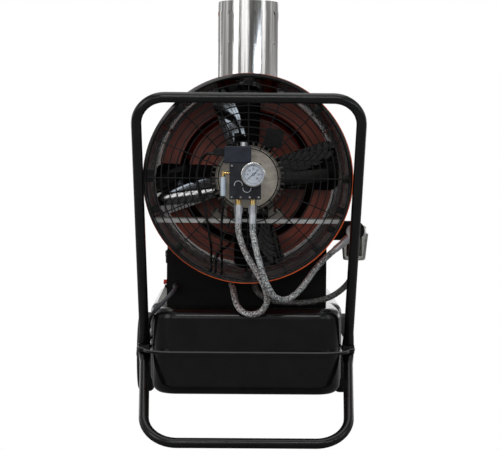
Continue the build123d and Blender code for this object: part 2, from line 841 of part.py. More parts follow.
def brass_fittings():
    """Unions under the pump and the elbow at its left side."""
    bottom_z = pump_z - pump_height / 2
    parts = []
    for x in port_x:
        parts.append(rod(union_r, union_length, place(x, port_depth, bottom_z), DOWNWARDS))
    side_x = pump_x - pump_width / 2
    elbow_z = pump_z + elbow_rise + elbow_drop
    arm = rod(elbow_r, elbow_reach, place(side_x, elbow_depth, elbow_z), (-1, 0, 0))
    leg = rod(elbow_r, elbow_drop + elbow_r, place(elbow_x(), elbow_depth, elbow_z + elbow_r), DOWNWARDS)
    parts.append(arm + leg)
    floor_z = tank_top_z + box_sheet
    for x, _, z in (return_route[-1], tank_route[0]):
        parts.append(block(place(x - ferrule_r, hose_wall_stop, floor_z),
                           place(x + ferrule_r, hose_wall_stop + 2 * ferrule_r, z + ferrule_r)))
    return parts


elbow_depth = -22.0
sleeve_length = 45.0
sleeve_r = 6.5


def elbow_x():
    return pump_x - pump_width / 2 - elbow_reach


def hose_end(start, direction, hex_size=None):
    """Swivel nut and crimped ferrule where a hose leaves a fitting."""
    nut = hexagon(hex_size or hex_r, hex_length, start, direction)
    end = Vector(*start) + Vector(*direction).normalized() * hex_length
    ferrule = rod(ferrule_r, ferrule_length, end, direction)
    return nut + ferrule


# ---------------------------------------------------------------- hoses, cables, lines

union_low_z = pump_z - pump_height / 2 - union_length
hose_start_z = union_low_z - hex_length - ferrule_length
filter_nut = Vector(filter_nut_x, filter_nut_depth, filter_nut_z)
filter_pull = Vector(-30.0, 0.0, -26.0).normalized()
filter_hose_end = filter_nut + filter_pull * (hex_length + ferrule_length)
filter_hose_run = filter_hose_end + filter_pull * hex_length * 1.5
inlet_hose_z = inlet_z - hex_length - ferrule_length
inlet_depth = boss_back + boss_half
hose_wall_stop = 172.0
cable_end_z = tank_top_z + box_sheet + transformer_size[2]

return_route = [
    (port_x[0], port_depth, hose_start_z), (port_x[0], port_depth, 500.0), (-14.0, -16.5, 469.0),
    (1.0, -14.0, 437.0), (18.0, -13.0, 409.0), (35.0, -11.0, 382.0), (46.5, 0.0, 353.0), (47.0, 18.0, 323.0),
    (29.0, 34.0, 301.0), (1.0, 42.0, 296.5), (-22.0, 56.0, 312.0), (-31.0, 80.0, 338.0),
    (-34.0, 106.0, 358.0), (-38.0, 134.0, 361.0), (-38.0, hose_wall_stop, 361.0),
]
suction_route = [
    (port_x[1], port_depth, hose_start_z), (port_x[1], port_depth, 501.0), (15.0, -25.0, 480.0),
    (21.0, -34.0, 452.0), (29.0, -36.5, 424.0), (38.0, -36.0, 395.0), (49.0, -29.0, 367.0), (65.0, -12.0, 343.0),
    (91.0, 12.0, 334.0), (119.0, 34.0, 350.0), (142.0, 52.0, 377.0), (164.0, 64.0, 408.0),
    tuple(filter_hose_run), tuple(filter_hose_end),
]
tank_route = [
    (18.0, hose_wall_stop, 362.0), (18.0, 137.0, 362.0), (23.5, 118.0, 347.0), (38.0, 116.0, 333.0),
    (64.0, 117.0, 322.5), (98.0, 117.5, 319.0), (134.0, 117.0, 319.0), (169.0, 117.0, 323.0),
    (203.0, 116.5, 333.0), (231.0, 113.0, 352.0), (250.0, 100.0, 376.0),
    (boss_x, inlet_depth, 398.0), (boss_x, inlet_depth, inlet_hose_z),
]
coil_cable_route = [
    (-80.5, -23.0, 681.0), (-97.0, -23.0, 681.0), (-97.0, 17.0, 680.0), (-111.0, 38.0, 667.0),
    (-121.0, 43.0, 643.0), (-122.0, 45.0, 616.0), (-113.0, 49.0, 589.0), (-103.0, 53.0, 561.0),
    (-98.0, 56.0, 531.0), (-94.0, 60.0, 502.0), (-89.0, 70.0, 475.0), (-86.0, 92.0, 453.0),
    (-87.0, 118.0, 437.0), (-87.5, 144.0, 421.0), (-87.0, service_depth - 3, 398.0),
    (-87.0, service_depth, 378.0), (-87.0, service_depth, cable_end_z),
]
motor_cable_route = [
    (cable_boss_x, cable_boss_depth, cable_boss_z), (cable_boss_x, cable_boss_depth, 500.0),
    (-33.0, 105.0, 475.0), (-46.0, 121.0, 456.0), (-61.0, 141.0, 447.0), (-73.0, 156.0, 432.0),
    (-77.0, service_depth - 2, 409.0), (-76.0, service_depth, 386.0), (-76.0, service_depth, cable_end_z),
]
nozzle_line_route = [
    (-58.0, elbow_depth, 584.0), (-58.0, elbow_depth, 556.0), (-59.0, 14.0, 545.0), (-61.0, 36.0, 530.0),
    (-62.0, 52.0, 508.0), (-62.5, 60.0, 482.0), (-62.0, 77.0, 460.0), (-61.5, 104.0, 446.0),
    (-61.5, 131.0, 432.0), (-62.0, 153.0, 412.0), (-61.0, service_depth - 1, 386.0),
    (-61.0, service_depth + 3, 358.0), (-59.0, 181.0, 336.0), (-50.0, 203.0, 323.0), (-30.0, 220.0, 319.0),
    (-11.0, 235.0, 323.0), (-2.0, 247.5, 340.0), (line_x + 0.5, line_depth, 365.0),
    (line_x - 0.5, line_depth, 440.0), (line_x + 0.5, line_depth, 500.0), (line_x, line_depth, 560.0),
    (line_x, line_depth, feed_boss_z),
]


# ---------------------------------------------------------------- filter

def filter_bracket():
    """Black plate from the drum's side to the filter, with a flange on the drum."""
    plate = block(place(0, bracket_depth, bracket_low_z), place(bracket_x, bracket_depth + bracket_sheet, bracket_high_z))
    outer = plate.edges().filter_by(Axis.Y).sort_by(Axis.X)[-2:]
    plate = fillet(outer, bracket_round)
    skin = tube(drum_r + bracket_sheet, drum_r, bracket_flange, on_axis(bracket_depth), FORWARDS)
    reach = block(place(0, bracket_depth, bracket_low_z), place(drum_r + bracket_sheet, bracket_depth + bracket_flange,
                                                             bracket_high_z))
    whole = plate + (skin & reach)
    whole = whole - rod(drum_r, drum_length, on_axis(0), FORWARDS)
    opening = block(place(boss_x - boss_half - bolt_gap, bracket_depth - bracket_sheet, inlet_z - bolt_gap),
                    place(boss_x + boss_half + bolt_gap, bracket_depth + 2 * bracket_sheet,
                          boss_top_z + bolt_gap))
    return whole - opening


def filter_head():
    """Cast head above the bowl, with a boss through the plate for the two hose joints."""
    head = rod(head_r, head_height, place(filter_x, filter_depth, bowl_top_z), UPWARDS)
    head = fillet(head.edges().group_by(Axis.Z)[-1], head_round)
    lid = rod(bowl_top_r, bowl_wall, place(filter_x, filter_depth, bowl_top_z), UPWARDS)
    boss = block(place(boss_x - boss_half, boss_back, inlet_z),
                 place(boss_x + boss_half, filter_depth - head_r / 2, boss_top_z))
    column = rod(element_r / 2, bowl_wall, place(filter_x, filter_depth, bowl_top_z), DOWNWARDS)
    cup = rod(bowl_top_r + bowl_gap, bowl_top_z - bowl_low_z, place(filter_x, filter_depth, bowl_low_z), UPWARDS)
    banjo = rod(banjo_r, banjo_length, place(banjo_x, boss_back - banjo_length, banjo_z), FORWARDS)
    bolt = hexagon(banjo_r / 2, banjo_length / 4, place(banjo_x, boss_back - banjo_length, banjo_z), BACKWARDS)
    reach = Vector(banjo_x, filter_nut.Y, banjo_z) - filter_nut
    stem = rod(stem_r, reach.length, place(*filter_nut), tuple(filter_pull * -1))
    return head + lid + (boss - cup) + column + banjo + bolt + stem


bowl_gap = 0.3


def filter_bowl():
    """Tapered clear cup, hollow, with its mouth on the head."""
    height = bowl_top_z - bowl_low_z
    start = Plane(origin=place(filter_x, filter_depth, bowl_low_z), z_dir=UPWARDS)
    cup = Solid.make_cone(bowl_low_r, bowl_top_r, height, start)
    cup = fillet(cup.edges().group_by(Axis.Z)[0], bell_rim)
    floor = Plane(origin=place(filter_x, filter_depth, bowl_low_z + bowl_wall), z_dir=UPWARDS)
    hollow = Solid.make_cone(bowl_low_r - bowl_wall, bowl_top_r - bowl_wall, height, floor)
    return cup - hollow


def filter_element():
    start = place(filter_x, filter_depth, bowl_top_z - bowl_wall - element_length)
    return tube(element_r, element_r / 2, element_length, start, UPWARDS)


# ---------------------------------------------------------------- support box

def control_box():
    """Folded support box on the tank, cut to the drum, with holes for hoses and lead."""
    outside = block(place(-box_half, box_back, tank_top_z), place(box_half, box_front, drum_axis_z))
    inside = block(place(-box_half + box_sheet, box_back + box_sheet, tank_top_z + box_sheet),
                   place(box_half - box_sheet, box_front - box_sheet, drum_axis_z))
    box = outside - inside - rod(drum_r + box_gap, drum_length, on_axis(0), FORWARDS)
    for x, _, z in (return_route[-1], tank_route[0]):
        box = box - rod(hose_d / 2 + box_gap, 3 * box_sheet, place(x, box_back - box_sheet, z), FORWARDS)
    box = box - rod(gland_r / 2, 3 * box_sheet, place(gland_x, box_back - box_sheet, gland_z), FORWARDS)
    return box


def front_saddle():
    """Folded sheet that carries the drum's outlet end on the tank."""
    outside = block(place(-saddle_half, saddle_back, tank_top_z), place(saddle_half, saddle_front, drum_axis_z))
    inside = block(place(-saddle_half, saddle_back + box_sheet, tank_top_z + box_sheet),
                   place(saddle_half, saddle_front, drum_axis_z))
    return outside - inside - rod(drum_r + box_gap, drum_length, on_axis(0), FORWARDS)


def switch_panel():
    """Side panel with the frame of the rocker, the spindle and the button collar."""
    low_z = tank_top_z + panel_low
    face = -box_half - panel_sheet
    panel = block(place(face, panel_back, low_z), place(-box_half, panel_front, tank_top_z + panel_high))
    frame_low = place(face - switch_frame_height, switch_depth - switch_half_depth - switch_frame,
                      switch_z - switch_half_height - switch_frame)
    frame_high = place(face, switch_depth + switch_half_depth + switch_frame,
                       switch_z + switch_half_height + switch_frame)
    well_low = place(face - rocker_height, switch_depth - switch_half_depth, switch_z - switch_half_height)
    well_high = place(-box_half, switch_depth + switch_half_depth, switch_z + switch_half_height)
    panel = panel + block(frame_low, frame_high) - block(well_low, well_high)
    panel = panel + rod(spindle_r, spindle_length, place(face, knob_depth, knob_z), (-1, 0, 0))
    collar_start = place(face, button_depth, button_z)
    panel = panel + tube(button_collar_r, button_r + button_gap, button_collar_height, collar_start, (-1, 0, 0))
    ear_reach = lid_top_reach / 2
    for depth in (lid_back - lid_sheet - lid_gap, lid_front + lid_gap):
        ear = block(place(face - ear_reach - lid_pin_r, depth, lid_top_z - 2 * lid_pin_r),
                    place(face, depth + lid_sheet, lid_top_z + 2 * lid_pin_r))
        panel = panel + ear
    pin_length = lid_front - lid_back + 2 * lid_gap
    pin = rod(lid_pin_r, pin_length, place(face - ear_reach, lid_back - lid_gap, lid_top_z), FORWARDS)
    return panel + pin


def thermostat_knob():
    face = -box_half - panel_sheet
    start = place(face - rocker_gap, knob_depth, knob_z)
    knob = rod(knob_r, knob_height, start, (-1, 0, 0))
    knob = fillet(knob.edges().group_by(Axis.X)[0], rocker_gap * 4)
    mark = block(place(face - knob_height - 2, knob_depth - 1, knob_z), place(face - knob_height, knob_depth + 1,
                                                                          knob_z + knob_r - 2))
    bore = rod(spindle_r + running_gap, spindle_length, place(face, knob_depth, knob_z), (-1, 0, 0))
    return knob + mark - bore


def power_switch():
    """Rocker button that tips in its frame about an upright pin."""
    face = -box_half - panel_sheet
    low = place(face - rocker_height - switch_frame_height, switch_depth - switch_half_depth + rocker_gap,
                switch_z - switch_half_height + rocker_gap)
    high = place(face - switch_frame_height, switch_depth + switch_half_depth - rocker_gap,
                 switch_z + switch_half_height - rocker_gap)
    body = block(low, high)
    wedge_x = face - switch_frame_height - rocker_height
    for side in (1, -1):
        slope = Pos(wedge_x, deep(switch_depth), switch_z) * Rot(0, 0, -side * rocker_turn)
        far = Box(rocker_height, 4 * switch_half_depth, 4 * switch_half_height,
                  align=(Align.MAX, Align.MIN if side > 0 else Align.MAX, Align.CENTER))
        body = body - slope * far
    stem = block(place(face - switch_frame_height - rocker_pin_r, switch_depth - 2 * rocker_pin_r,
                       switch_z - switch_half_height / 2),
                 place(face - box_gap, switch_depth + 2 * rocker_pin_r, switch_z + switch_half_height / 2))
    pivot = Axis(place(face - switch_frame_height, switch_depth, switch_z), UPWARDS)
    return (body + stem).rotate(pivot, -rocker_turn)


def reset_button():
    face = -box_half - panel_sheet
    length = button_collar_height + button_stand - button_travel - rocker_gap
    start = place(face - button_travel - rocker_gap, button_depth, button_z)
    button = rod(button_r, length, start, (-1, 0, 0))
    return fillet(button.edges().group_by(Axis.X)[0], rocker_gap * 3)


def socket_lid():
    """Sloping splash lid over the thermostat socket, hung on its top pin."""
    face = -box_half - panel_sheet
    outline = [(-lid_gap, lid_top_z - lid_top_reach), (-lid_top_reach, lid_top_z - lid_top_reach / 2),
               (-lid_low_reach, lid_low_z), (-lid_gap, lid_low_z)]
    corners = [(face + x, z) for x, z in outline]
    side = Plane(origin=place(0, lid_front, 0), x_dir=(1, 0, 0), z_dir=BACKWARDS)
    lid = extrude(side * Polygon(*corners, align=None), amount=lid_front - lid_back)
    inset = [(-lid_gap, lid_top_z - lid_top_reach - lid_sheet), (-lid_top_reach + lid_sheet, lid_top_z - lid_top_reach
             - lid_sheet), (-lid_low_reach + lid_sheet, lid_low_z), (-lid_gap, lid_low_z)]
    inner = [(face + x, z) for x, z in inset]
    inner_side = Plane(origin=place(0, lid_front - lid_sheet, 0), x_dir=(1, 0, 0), z_dir=BACKWARDS)
    hollow = extrude(inner_side * Polygon(*inner, align=None), amount=lid_front - lid_back - 2 * lid_sheet)
    ear_reach = lid_top_reach / 2
    knuckle = rod(2 * lid_pin_r, lid_front - lid_back, place(face - ear_reach, lid_back, lid_top_z), FORWARDS)
    strap = block(place(face - ear_reach - lid_pin_r, lid_back, lid_top_z - lid_top_reach),
                  place(face - ear_reach + lid_pin_r, lid_front, lid_top_z))
    pin_hole = rod(lid_pin_r + running_gap, lid_front - lid_back, place(face - ear_reach, lid_back, lid_top_z), FORWARDS)
    return lid - hollow + knuckle + strap - pin_hole


def cable_gland():
    """Screwed gland with a tapered rubber tail on the lead."""
    body = hexagon(gland_r, gland_length, place(gland_x, box_back, gland_z), BACKWARDS)
    tip = Plane(origin=place(gland_x, box_back - gland_length, gland_z), z_dir=BACKWARDS)
    tail = Solid.make_cone(gland_r * 0.8, lead_d / 2 + 1, gland_tail, tip)
    thread = rod(gland_r / 2, box_sheet, place(gland_x, box_back + box_sheet, gland_z), BACKWARDS)
    return body + tail + thread


def ignition_transformer():
    width, depth, height = transformer_size
    low = place(transformer_x - width / 2, transformer_back, tank_top_z + box_sheet)
    high = place(transformer_x + width / 2, transformer_back + depth, tank_top_z + box_sheet + height)
    case = block(low, high)
    return fillet(case.edges().filter_by(Axis.Z), bell_rim)


# ---------------------------------------------------------------- tank

def pressed_block(half, back, front, low_z, high_z, corner_r, crown_r, crown_up):
    """Box with round upright corners and a round crown, as a stamped half is."""
    shape = block(place(-half, back, low_z), place(half, front, high_z))
    shape = fillet(shape.edges().filter_by(Axis.Z), corner_r)
    level = -1 if crown_up else 0
    return fillet(shape.edges().group_by(Axis.Z)[level], crown_r)


def tank_half_shell(from_z, to_z, flange_from, flange_to):
    """One stamped half: a narrow nose and a wide rear part on a flat flange."""
    up = to_z > from_z
    low, high = min(from_z, to_z), max(from_z, to_z)
    nose = pressed_block(tank_nose_half, tank_back, 2 * shoulder_depth, low, high, nose_round, crown_round, up)
    body = pressed_block(tank_half, shoulder_depth, tank_front, low, high, shoulder_round, crown_round, up)
    inner_low = low if up else low + tank_wall
    inner_high = high - tank_wall if up else high
    nose_in = pressed_block(tank_nose_half - tank_wall, tank_back + tank_wall, 2 * shoulder_depth,
                            inner_low, inner_high, nose_round - tank_wall, crown_round - tank_wall, up)
    body_in = pressed_block(tank_half - tank_wall, shoulder_depth + tank_wall, tank_front - tank_wall,
                            inner_low, inner_high, shoulder_round - tank_wall, crown_round - tank_wall, up)
    flange = block(place(-flange_half, tank_back - flange_reach, flange_from),
                   place(flange_half, tank_front + flange_reach, flange_to))
    flange = fillet(flange.edges().filter_by(Axis.Z), flange_round)
    ears = block(place(-ear_half, foot_depth - ear_margin, flange_from),
                 place(ear_half, foot_depth + flat_length + ear_margin, flange_to))
    ears = fillet(ears.edges().filter_by(Axis.Z), ear_margin)
    rear_ears = block(place(-carrier_ear_half, carrier_back, flange_from),
                      place(carrier_ear_half, carrier_back + carrier_tab, flange_to))
    rear_ears = fillet(rear_ears.edges().filter_by(Axis.Z), ear_margin)
    shell = nose + body + flange + ears + rear_ears
    shell = shell - nose_in - body_in
    for x, depth in foot_bolt_spots() + carrier_bolt_spots():
        shell = shell - rod(bolt_r + bolt_gap, 4 * flange_sheet, place(x, depth, seam_z - 2 * flange_sheet), UPWARDS)
    return shell


def foot_bolt_spots():
    return [(side * foot_half_width, foot_depth + step) for side in (1, -1) for step in foot_bolts]


def carrier_bolt_spots():
    return [(side * carrier_bolt_x, carrier_back + step) for side in (1, -1) for step in carrier_bolts]


def tank_upper():
    half = tank_half_shell(seam_z, tank_top_z, seam_z, flange_top_z)
    neck = rod(filler_r, filler_height, place(filler_x, filler_depth, tank_top_z), UPWARDS)
    bore = rod(filler_r - filler_wall, 3 * filler_height, place(filler_x, filler_depth, tank_top_z - filler_height),
               UPWARDS)
    return half + neck - bore


def tank_lower():
    return tank_half_shell(seam_z, tank_bottom_z, flange_low_z, seam_z)


def filler_cap():
    """Knurled cap over the filler neck."""
    profile = Circle(cap_r)
    for step in range(cap_grips):
        grip = Rot(0, 0, 360 * step / cap_grips) * Pos(cap_r + cap_wall / 2, 0) * Circle(cap_wall / 2 + cap_gap)
        profile = profile - grip
    start = Plane(origin=place(filler_x, filler_depth, tank_top_z + cap_gap))
    cap = extrude(start * profile, amount=cap_height)
    hollow = rod(filler_r + cap_gap, filler_height, place(filler_x, filler_depth, tank_top_z), UPWARDS)
    return cap - hollow


# ---------------------------------------------------------------- tube frame

def bent_tube(foot_z, bar_depth, bar_z, bar_half, bend_r, flat_low_z):
    """U-shaped tube with flattened feet that lie on the tank flange."""
    feet = [Vector(*place(side * foot_half_width, foot_depth, foot_z)) for side in (-1, 1)]
    corners = [Vector(*place(side * bar_half, bar_depth, bar_z)) for side in (-1, 1)]
    rises = [(corner - foot).normalized() for foot, corner in zip(feet, corners)]
    starts = [foot + rise * flat_run for foot, rise in zip(feet, rises)]
    path = FilletPolyline(starts[0], corners[0], corners[1], starts[1], radius=bend_r)
    body = sweep(Plane(origin=path @ 0, z_dir=path % 0) * Circle(tube_d / 2), path=path)
    for foot, rise, start in zip(feet, rises, starts):
        round_end = Plane(origin=start, x_dir=(1, 0, 0), z_dir=rise) * Circle(tube_d / 2)
        middle = Vector(foot.X, foot.Y, flat_low_z + flat_sheet / 2)
        flat_end = Plane(origin=middle, x_dir=(1, 0, 0), z_dir=(0, 0, math.copysign(1, rise.Z)))
        flat_end = flat_end * Ellipse(flat_width / 2 - 1, flat_sheet / 2 + 2)
        body = body + loft([flat_end.face(), round_end.face()])
        tab = block((foot.X - flat_width / 2, foot.Y - flat_sheet, flat_low_z),
                    (foot.X + flat_width / 2, foot.Y + flat_length, flat_low_z + flat_sheet))
        tab = fillet(tab.edges().filter_by(Axis.Z), flat_sheet)
        body = body + tab
        for step in foot_bolts:
            body = body - rod(bolt_r + bolt_gap, 3 * flat_sheet, (foot.X, foot.Y + step, flat_low_z - flat_sheet),
                              UPWARDS)
    return body


def handle_tube():
    return bent_tube(flange_top_z + flat_sheet / 2, -handle_reach, handle_bar_z, handle_half, handle_round,
                     flange_top_z)


def stand_loop():
    return bent_tube(flange_low_z - flat_sheet / 2, -stand_reach, tube_d / 2, stand_half, stand_round,
                     flange_low_z - flat_sheet)


def bolt_with_nut(x, depth, top_z, low_z):
    """Hex bolt from above with a nut below the clamped stack."""
    head = hexagon(bolt_head_r, bolt_head, place(x, depth, top_z), UPWARDS)
    nut = hexagon(bolt_head_r, bolt_head, place(x, depth, low_z), DOWNWARDS)
    shank = rod(bolt_r, top_z - low_z + bolt_head + bolt_r, place(x, depth, top_z), DOWNWARDS)
    return head + nut + shank


def hex_bolts():
    bolts = []
    for x, depth in foot_bolt_spots():
        bolts.append(bolt_with_nut(x, depth, flange_top_z + flat_sheet, flange_low_z - flat_sheet))
    for x, depth in carrier_bolt_spots():
        bolts.append(bolt_with_nut(x, depth, flange_top_z, flange_low_z - carrier_sheet))
    for side in (1, -1):
        for depth in motor_bolt_depths():
            bolts.append(bolt_with_nut(side * foot_bolt_x, depth, shelf_top_z + foot_height,
                                       shelf_top_z - shelf_sheet))
    for angle in guard_bolt_angles:
        seat = ring_depth - wire_r
        washer = rod(guard_washer_r, screw_head, on_axis(seat - screw_head, guard_bolt_r, angle), FORWARDS)
        head = hexagon(guard_head_r, wire_r * 2, on_axis(seat - screw_head, guard_bolt_r, angle), BACKWARDS)
        shank = rod(bolt_shank_r, shroud_start + lug_length - seat, on_axis(seat, guard_bolt_r, angle), FORWARDS)
        bolts.append(washer + head + shank)
    return bolts


# ---------------------------------------------------------------- wheels

def axle():
    """Through axle with a collar inside each wheel and a cap outside it."""
    inner = wheel_half_track - hub_boss_length / 2 - hub_gap
    outer = wheel_half_track + hub_boss_length / 2 + hub_gap
    bar = rod(axle_r, 2 * outer, place(-outer, axle_depth, wheel_r), (1, 0, 0))
    for side in (1, -1):
        collar_x = carrier_x + carrier_sheet
        bar = bar + rod(axle_head_r, inner - collar_x, place(side * collar_x, axle_depth, wheel_r), (side, 0, 0))
        cap = rod(axle_head_r, axle_head, place(side * outer, axle_depth, wheel_r), (side, 0, 0))
        bar = bar + cap
    return bar


def tyre(side):
    centre = side * wheel_half_track
    ring = tube(wheel_r, tyre_bore_r, tyre_width, place(centre - tyre_width / 2, axle_depth, wheel_r), (1, 0, 0))
    shoulders = [edge for edge in ring.edges().filter_by(GeomType.CIRCLE) if edge.radius > tyre_bore_r + 1]
    return fillet(shoulders, tyre_round)


def rim(side):
    """Pressed wheel disc with lightening holes and a bored hub."""
    centre = side * wheel_half_track
    outer = tube(tyre_bore_r, tyre_bore_r - rim_ring, tyre_width - 2 * rim_ring,
                 place(centre - tyre_width / 2 + rim_ring, axle_depth, wheel_r), (1, 0, 0))
    web = rod(tyre_bore_r - rim_ring / 2, rim_web, place(centre - rim_web / 2, axle_depth, wheel_r), (1, 0, 0))
    boss = rod(hub_boss_r, hub_boss_length, place(centre - hub_boss_length / 2, axle_depth, wheel_r), (1, 0, 0))
    wheel = outer + web + boss
    for step in range(rim_holes):
        turn = math.radians(90 + 360 * step / rim_holes)
        y = rim_hole_at * math.cos(turn)
        z = rim_hole_at * math.sin(turn)
        wheel = wheel - rod(rim_hole_r, 2 * rim_web, place(centre - rim_web, axle_depth + y, wheel_r + z), (1, 0, 0))
    bore = rod(axle_r + running_gap, hub_boss_length, place(centre - hub_boss_length / 2, axle_depth, wheel_r),
               (1, 0, 0))
    return wheel - bore


def axle_bracket(side):
    """Plate that hangs the axle from the tank flange."""
    inner, outer = carrier_x, carrier_x + carrier_sheet
    points = [(axle_depth - carrier_eye_r, wheel_r), (axle_depth, wheel_r - carrier_eye_r),
              (axle_depth + carrier_eye_r, wheel_r), (axle_depth - carrier_eye_r, flange_low_z),
              (carrier_back, flange_low_z)]
    outline = Polygon(*[(deep(depth), z) for depth, z in points], align=None)
    plane = Plane(origin=(side * inner, 0, 0), x_dir=(0, 1, 0), z_dir=(1, 0, 0))
    plate = extrude(plane * outline, amount=side * carrier_sheet)
    plate = plate + rod(carrier_eye_r, carrier_sheet, place(side * inner, axle_depth, wheel_r), (side, 0, 0))
    low_x, high_x = sorted((side * inner, side * carrier_ear_half))
    tab_front = carrier_back + carrier_tab
    plate = plate + block(place(low_x, carrier_back, flange_low_z - carrier_sheet),
                          place(high_x, tab_front, flange_low_z))
    for x, depth in carrier_bolt_spots():
        plate = plate - rod(bolt_r + bolt_gap, 3 * carrier_sheet, place(x, depth, flange_low_z - 2 * carrier_sheet),
                            UPWARDS)
    return plate - rod(axle_r, 3 * carrier_sheet, place(side * (inner - carrier_sheet), axle_depth, wheel_r),
                       (side, 0, 0))


# ---------------------------------------------------------------- mains lead

lead_rest = 0.3
lead_z = flange_top_z + lead_d / 2 + lead_rest
lead_over_z = flange_top_z + bolt_head + lead_d / 2 + lead_rest
floor_z = lead_d / 2
lead_route = [
    (gland_x, box_back - gland_length - gland_tail, gland_z), (gland_x, 82.5, gland_z), (-187.0, 60.0, 339.0),
    (-208.5, 60.0, 315.5), (-223.5, 82.0, 299.0), (-233.0, 108.0, 284.0), (-239.0, 137.0, 267.0),
    (-242.0, 168.0, 250.0), (-244.0, 201.0, 231.0), (-245.0, 237.0, 217.0), (-246.5, 276.0, lead_z),
    (-248.0, 345.0, lead_z), (-248.5, 440.0, lead_z), (-247.5, 530.0, lead_z), (-246.0, 588.0, 215.5),
    (-245.0, 634.0, lead_over_z + 0.5), (-245.0, 683.5, lead_over_z + 1), (-231.5, 707.5, lead_over_z + 1),
    (-208.0, 721.5, 219.0), (-188.0, 733.5, 216.5), (-172.0, 743.0, 207.0), (-161.0, 747.5, 189.0),
    (-153.0, 748.5, 161.0), (-147.0, 750.0, 127.0), (-142.0, 754.0, 92.0), (-134.0, 765.0, 57.0),
    (-122.0, 786.0, 27.0), (-107.0, 816.0, 7.5), (-90.5, 851.0, floor_z),
]


def lead_coil():
    """Outer shape of the wound turns, lying on the floor."""
    return tube(coil_mid_r + lead_d, coil_mid_r - lead_d, coil_layers * lead_d,
                place(coil_x, coil_depth, 0), UPWARDS)


def mains_plug():
    """Round two-pin plug with a tapered neck, lying in the coil's middle."""
    pin_reach = math.sqrt((coil_mid_r - lead_d - pin_gap) ** 2 - (pin_half + pin_r) ** 2)
    face_x = coil_x + pin_reach - pin_length
    start = place(face_x - plug_length, coil_depth, plug_r)
    body = rod(plug_r, plug_length, start, (1, 0, 0))
    body = fillet(body.edges(), bell_rim)
    neck_plane = Plane(origin=start, z_dir=(-1, 0, 0))
    neck = Solid.make_cone(plug_r / 2, lead_d / 2 + 1, plug_neck / 2, neck_plane)
    plug = body + neck
    for side in (1, -1):
        y = deep(coil_depth) + side * pin_half
        plug = plug + rod(pin_r, pin_length, (face_x, y, plug_r), (1, 0, 0))
    return plug


# ---------------------------------------------------------------- write every piece

save("drum_shell", drum_shell())
save("inlet_shroud", inlet_shroud())
save("fan_guard", fan_guard())
save("outlet_nozzle", outlet_nozzle())
save("flue_pipe", flue_pipe())
save("flue_collar", flue_collar())
save("heat_exchanger", heat_exchanger())
save("combustion_chamber", combustion_chamber())
burner_cup, nozzle_stock, electrode_pair = burner_head()
save("burner_head", burner_cup)
save("burner_nozzle", nozzle_stock, *electrode_pair)

housing_body = motor_housing()
save("motor_shelf", motor_shelf())
save("motor_end_bell", motor_end_bell())
save("motor_housing", housing_body)
save("motor_terminal_box", terminal_box(housing_body))
save("drive_shaft", drive_shaft())
save("fan_rotor", fan_rotor())

save("pump_body", pump_body())
save("pump_face_plate", pump_face_plate())
save("pump_screws", *pump_screws())
coil_body, connector_body, coil_nut = solenoid_coil()
save("solenoid_coil", coil_body)
save("coil_connector", connector_body)
gauge_case, gauge_dial, gauge_lens, gauge_pointer = gauge_parts()
save("gauge_case", gauge_case)
save("gauge_dial", gauge_dial)
save("gauge_lens", gauge_lens)
save("gauge_pointer", gauge_pointer)
save("brass_fittings", *brass_fittings())

coil_cable_body = flexible("coil cable", coil_cable_route, cable_d)
motor_cable_body = flexible("motor cable", motor_cable_route, cable_d)
save("wiring_cables", coil_cable_body, motor_cable_body)
line_body = flexible("nozzle line", nozzle_line_route, line_d)
line_sleeve_z = pump_z + elbow_rise
line_sleeve = rod(sleeve_r, sleeve_length, place(elbow_x(), elbow_depth, line_sleeve_z), DOWNWARDS)
save("nozzle_line", line_body + line_sleeve)
save("return_hose", flexible("return hose", return_route, hose_d))
save("suction_hose", flexible("suction hose", suction_route, hose_d))
save("tank_hose", flexible("tank hose", tank_route, hose_d))
steel_nuts = [hose_end(place(x, port_depth, union_low_z), DOWNWARDS) for x in port_x]
steel_nuts.append(hose_end(place(*filter_nut), filter_pull))
steel_nuts.append(hose_end(place(boss_x, boss_back + boss_half, inlet_z), DOWNWARDS))
save("steel_nuts", coil_nut, *steel_nuts)

save("filter_bracket", filter_bracket())
save("filter_head", filter_head())
save("filter_bowl", filter_bowl())
save("filter_element", filter_element())

save("control_box", control_box())
save("front_saddle", front_saddle())
save("switch_panel", switch_panel())
save("thermostat_knob", thermostat_knob())
save("power_switch", power_switch())
save("reset_button", reset_button())
save("socket_lid", socket_lid())
save("cable_gland", cable_gland())
save("ignition_transformer", ignition_transformer())

save("tank_upper", tank_upper())
save("tank_lower", tank_lower())
save("filler_cap", filler_cap())
save("handle_tube", handle_tube())
save("stand_loop", stand_loop())
save("hex_bolts", *hex_bolts())

save("axle", axle())
save("axle_brackets", axle_bracket(1), axle_bracket(-1))
for side_name, side in (("left", -1), ("right", 1)):
    save(f"{side_name}_tyre", tyre(side))
    save(f"{side_name}_rim", rim(side))

save("power_cord", flexible("mains lead", lead_route, lead_d))
save("power_cord_coil", lead_coil())
save("power_plug", mains_plug())
print("overall length", overall_length, "inlet rim at y", rim_y)
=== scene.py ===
# %% [markdown]
# # A forced air heater on wheels
# The CAD frame already holds every solid of this heater at its real size. This file gives those
# solids their finishes, and models the pieces whose look needs more than a plain solid: the wire
# guard, the gauge's scale, the pale arcs of painted highlight on the pump's plate, the braided
# hoses, the cables and the mains lead.

# %% Load the CAD frame
import math

import bpy
from mathutils import Euler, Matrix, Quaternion, Vector


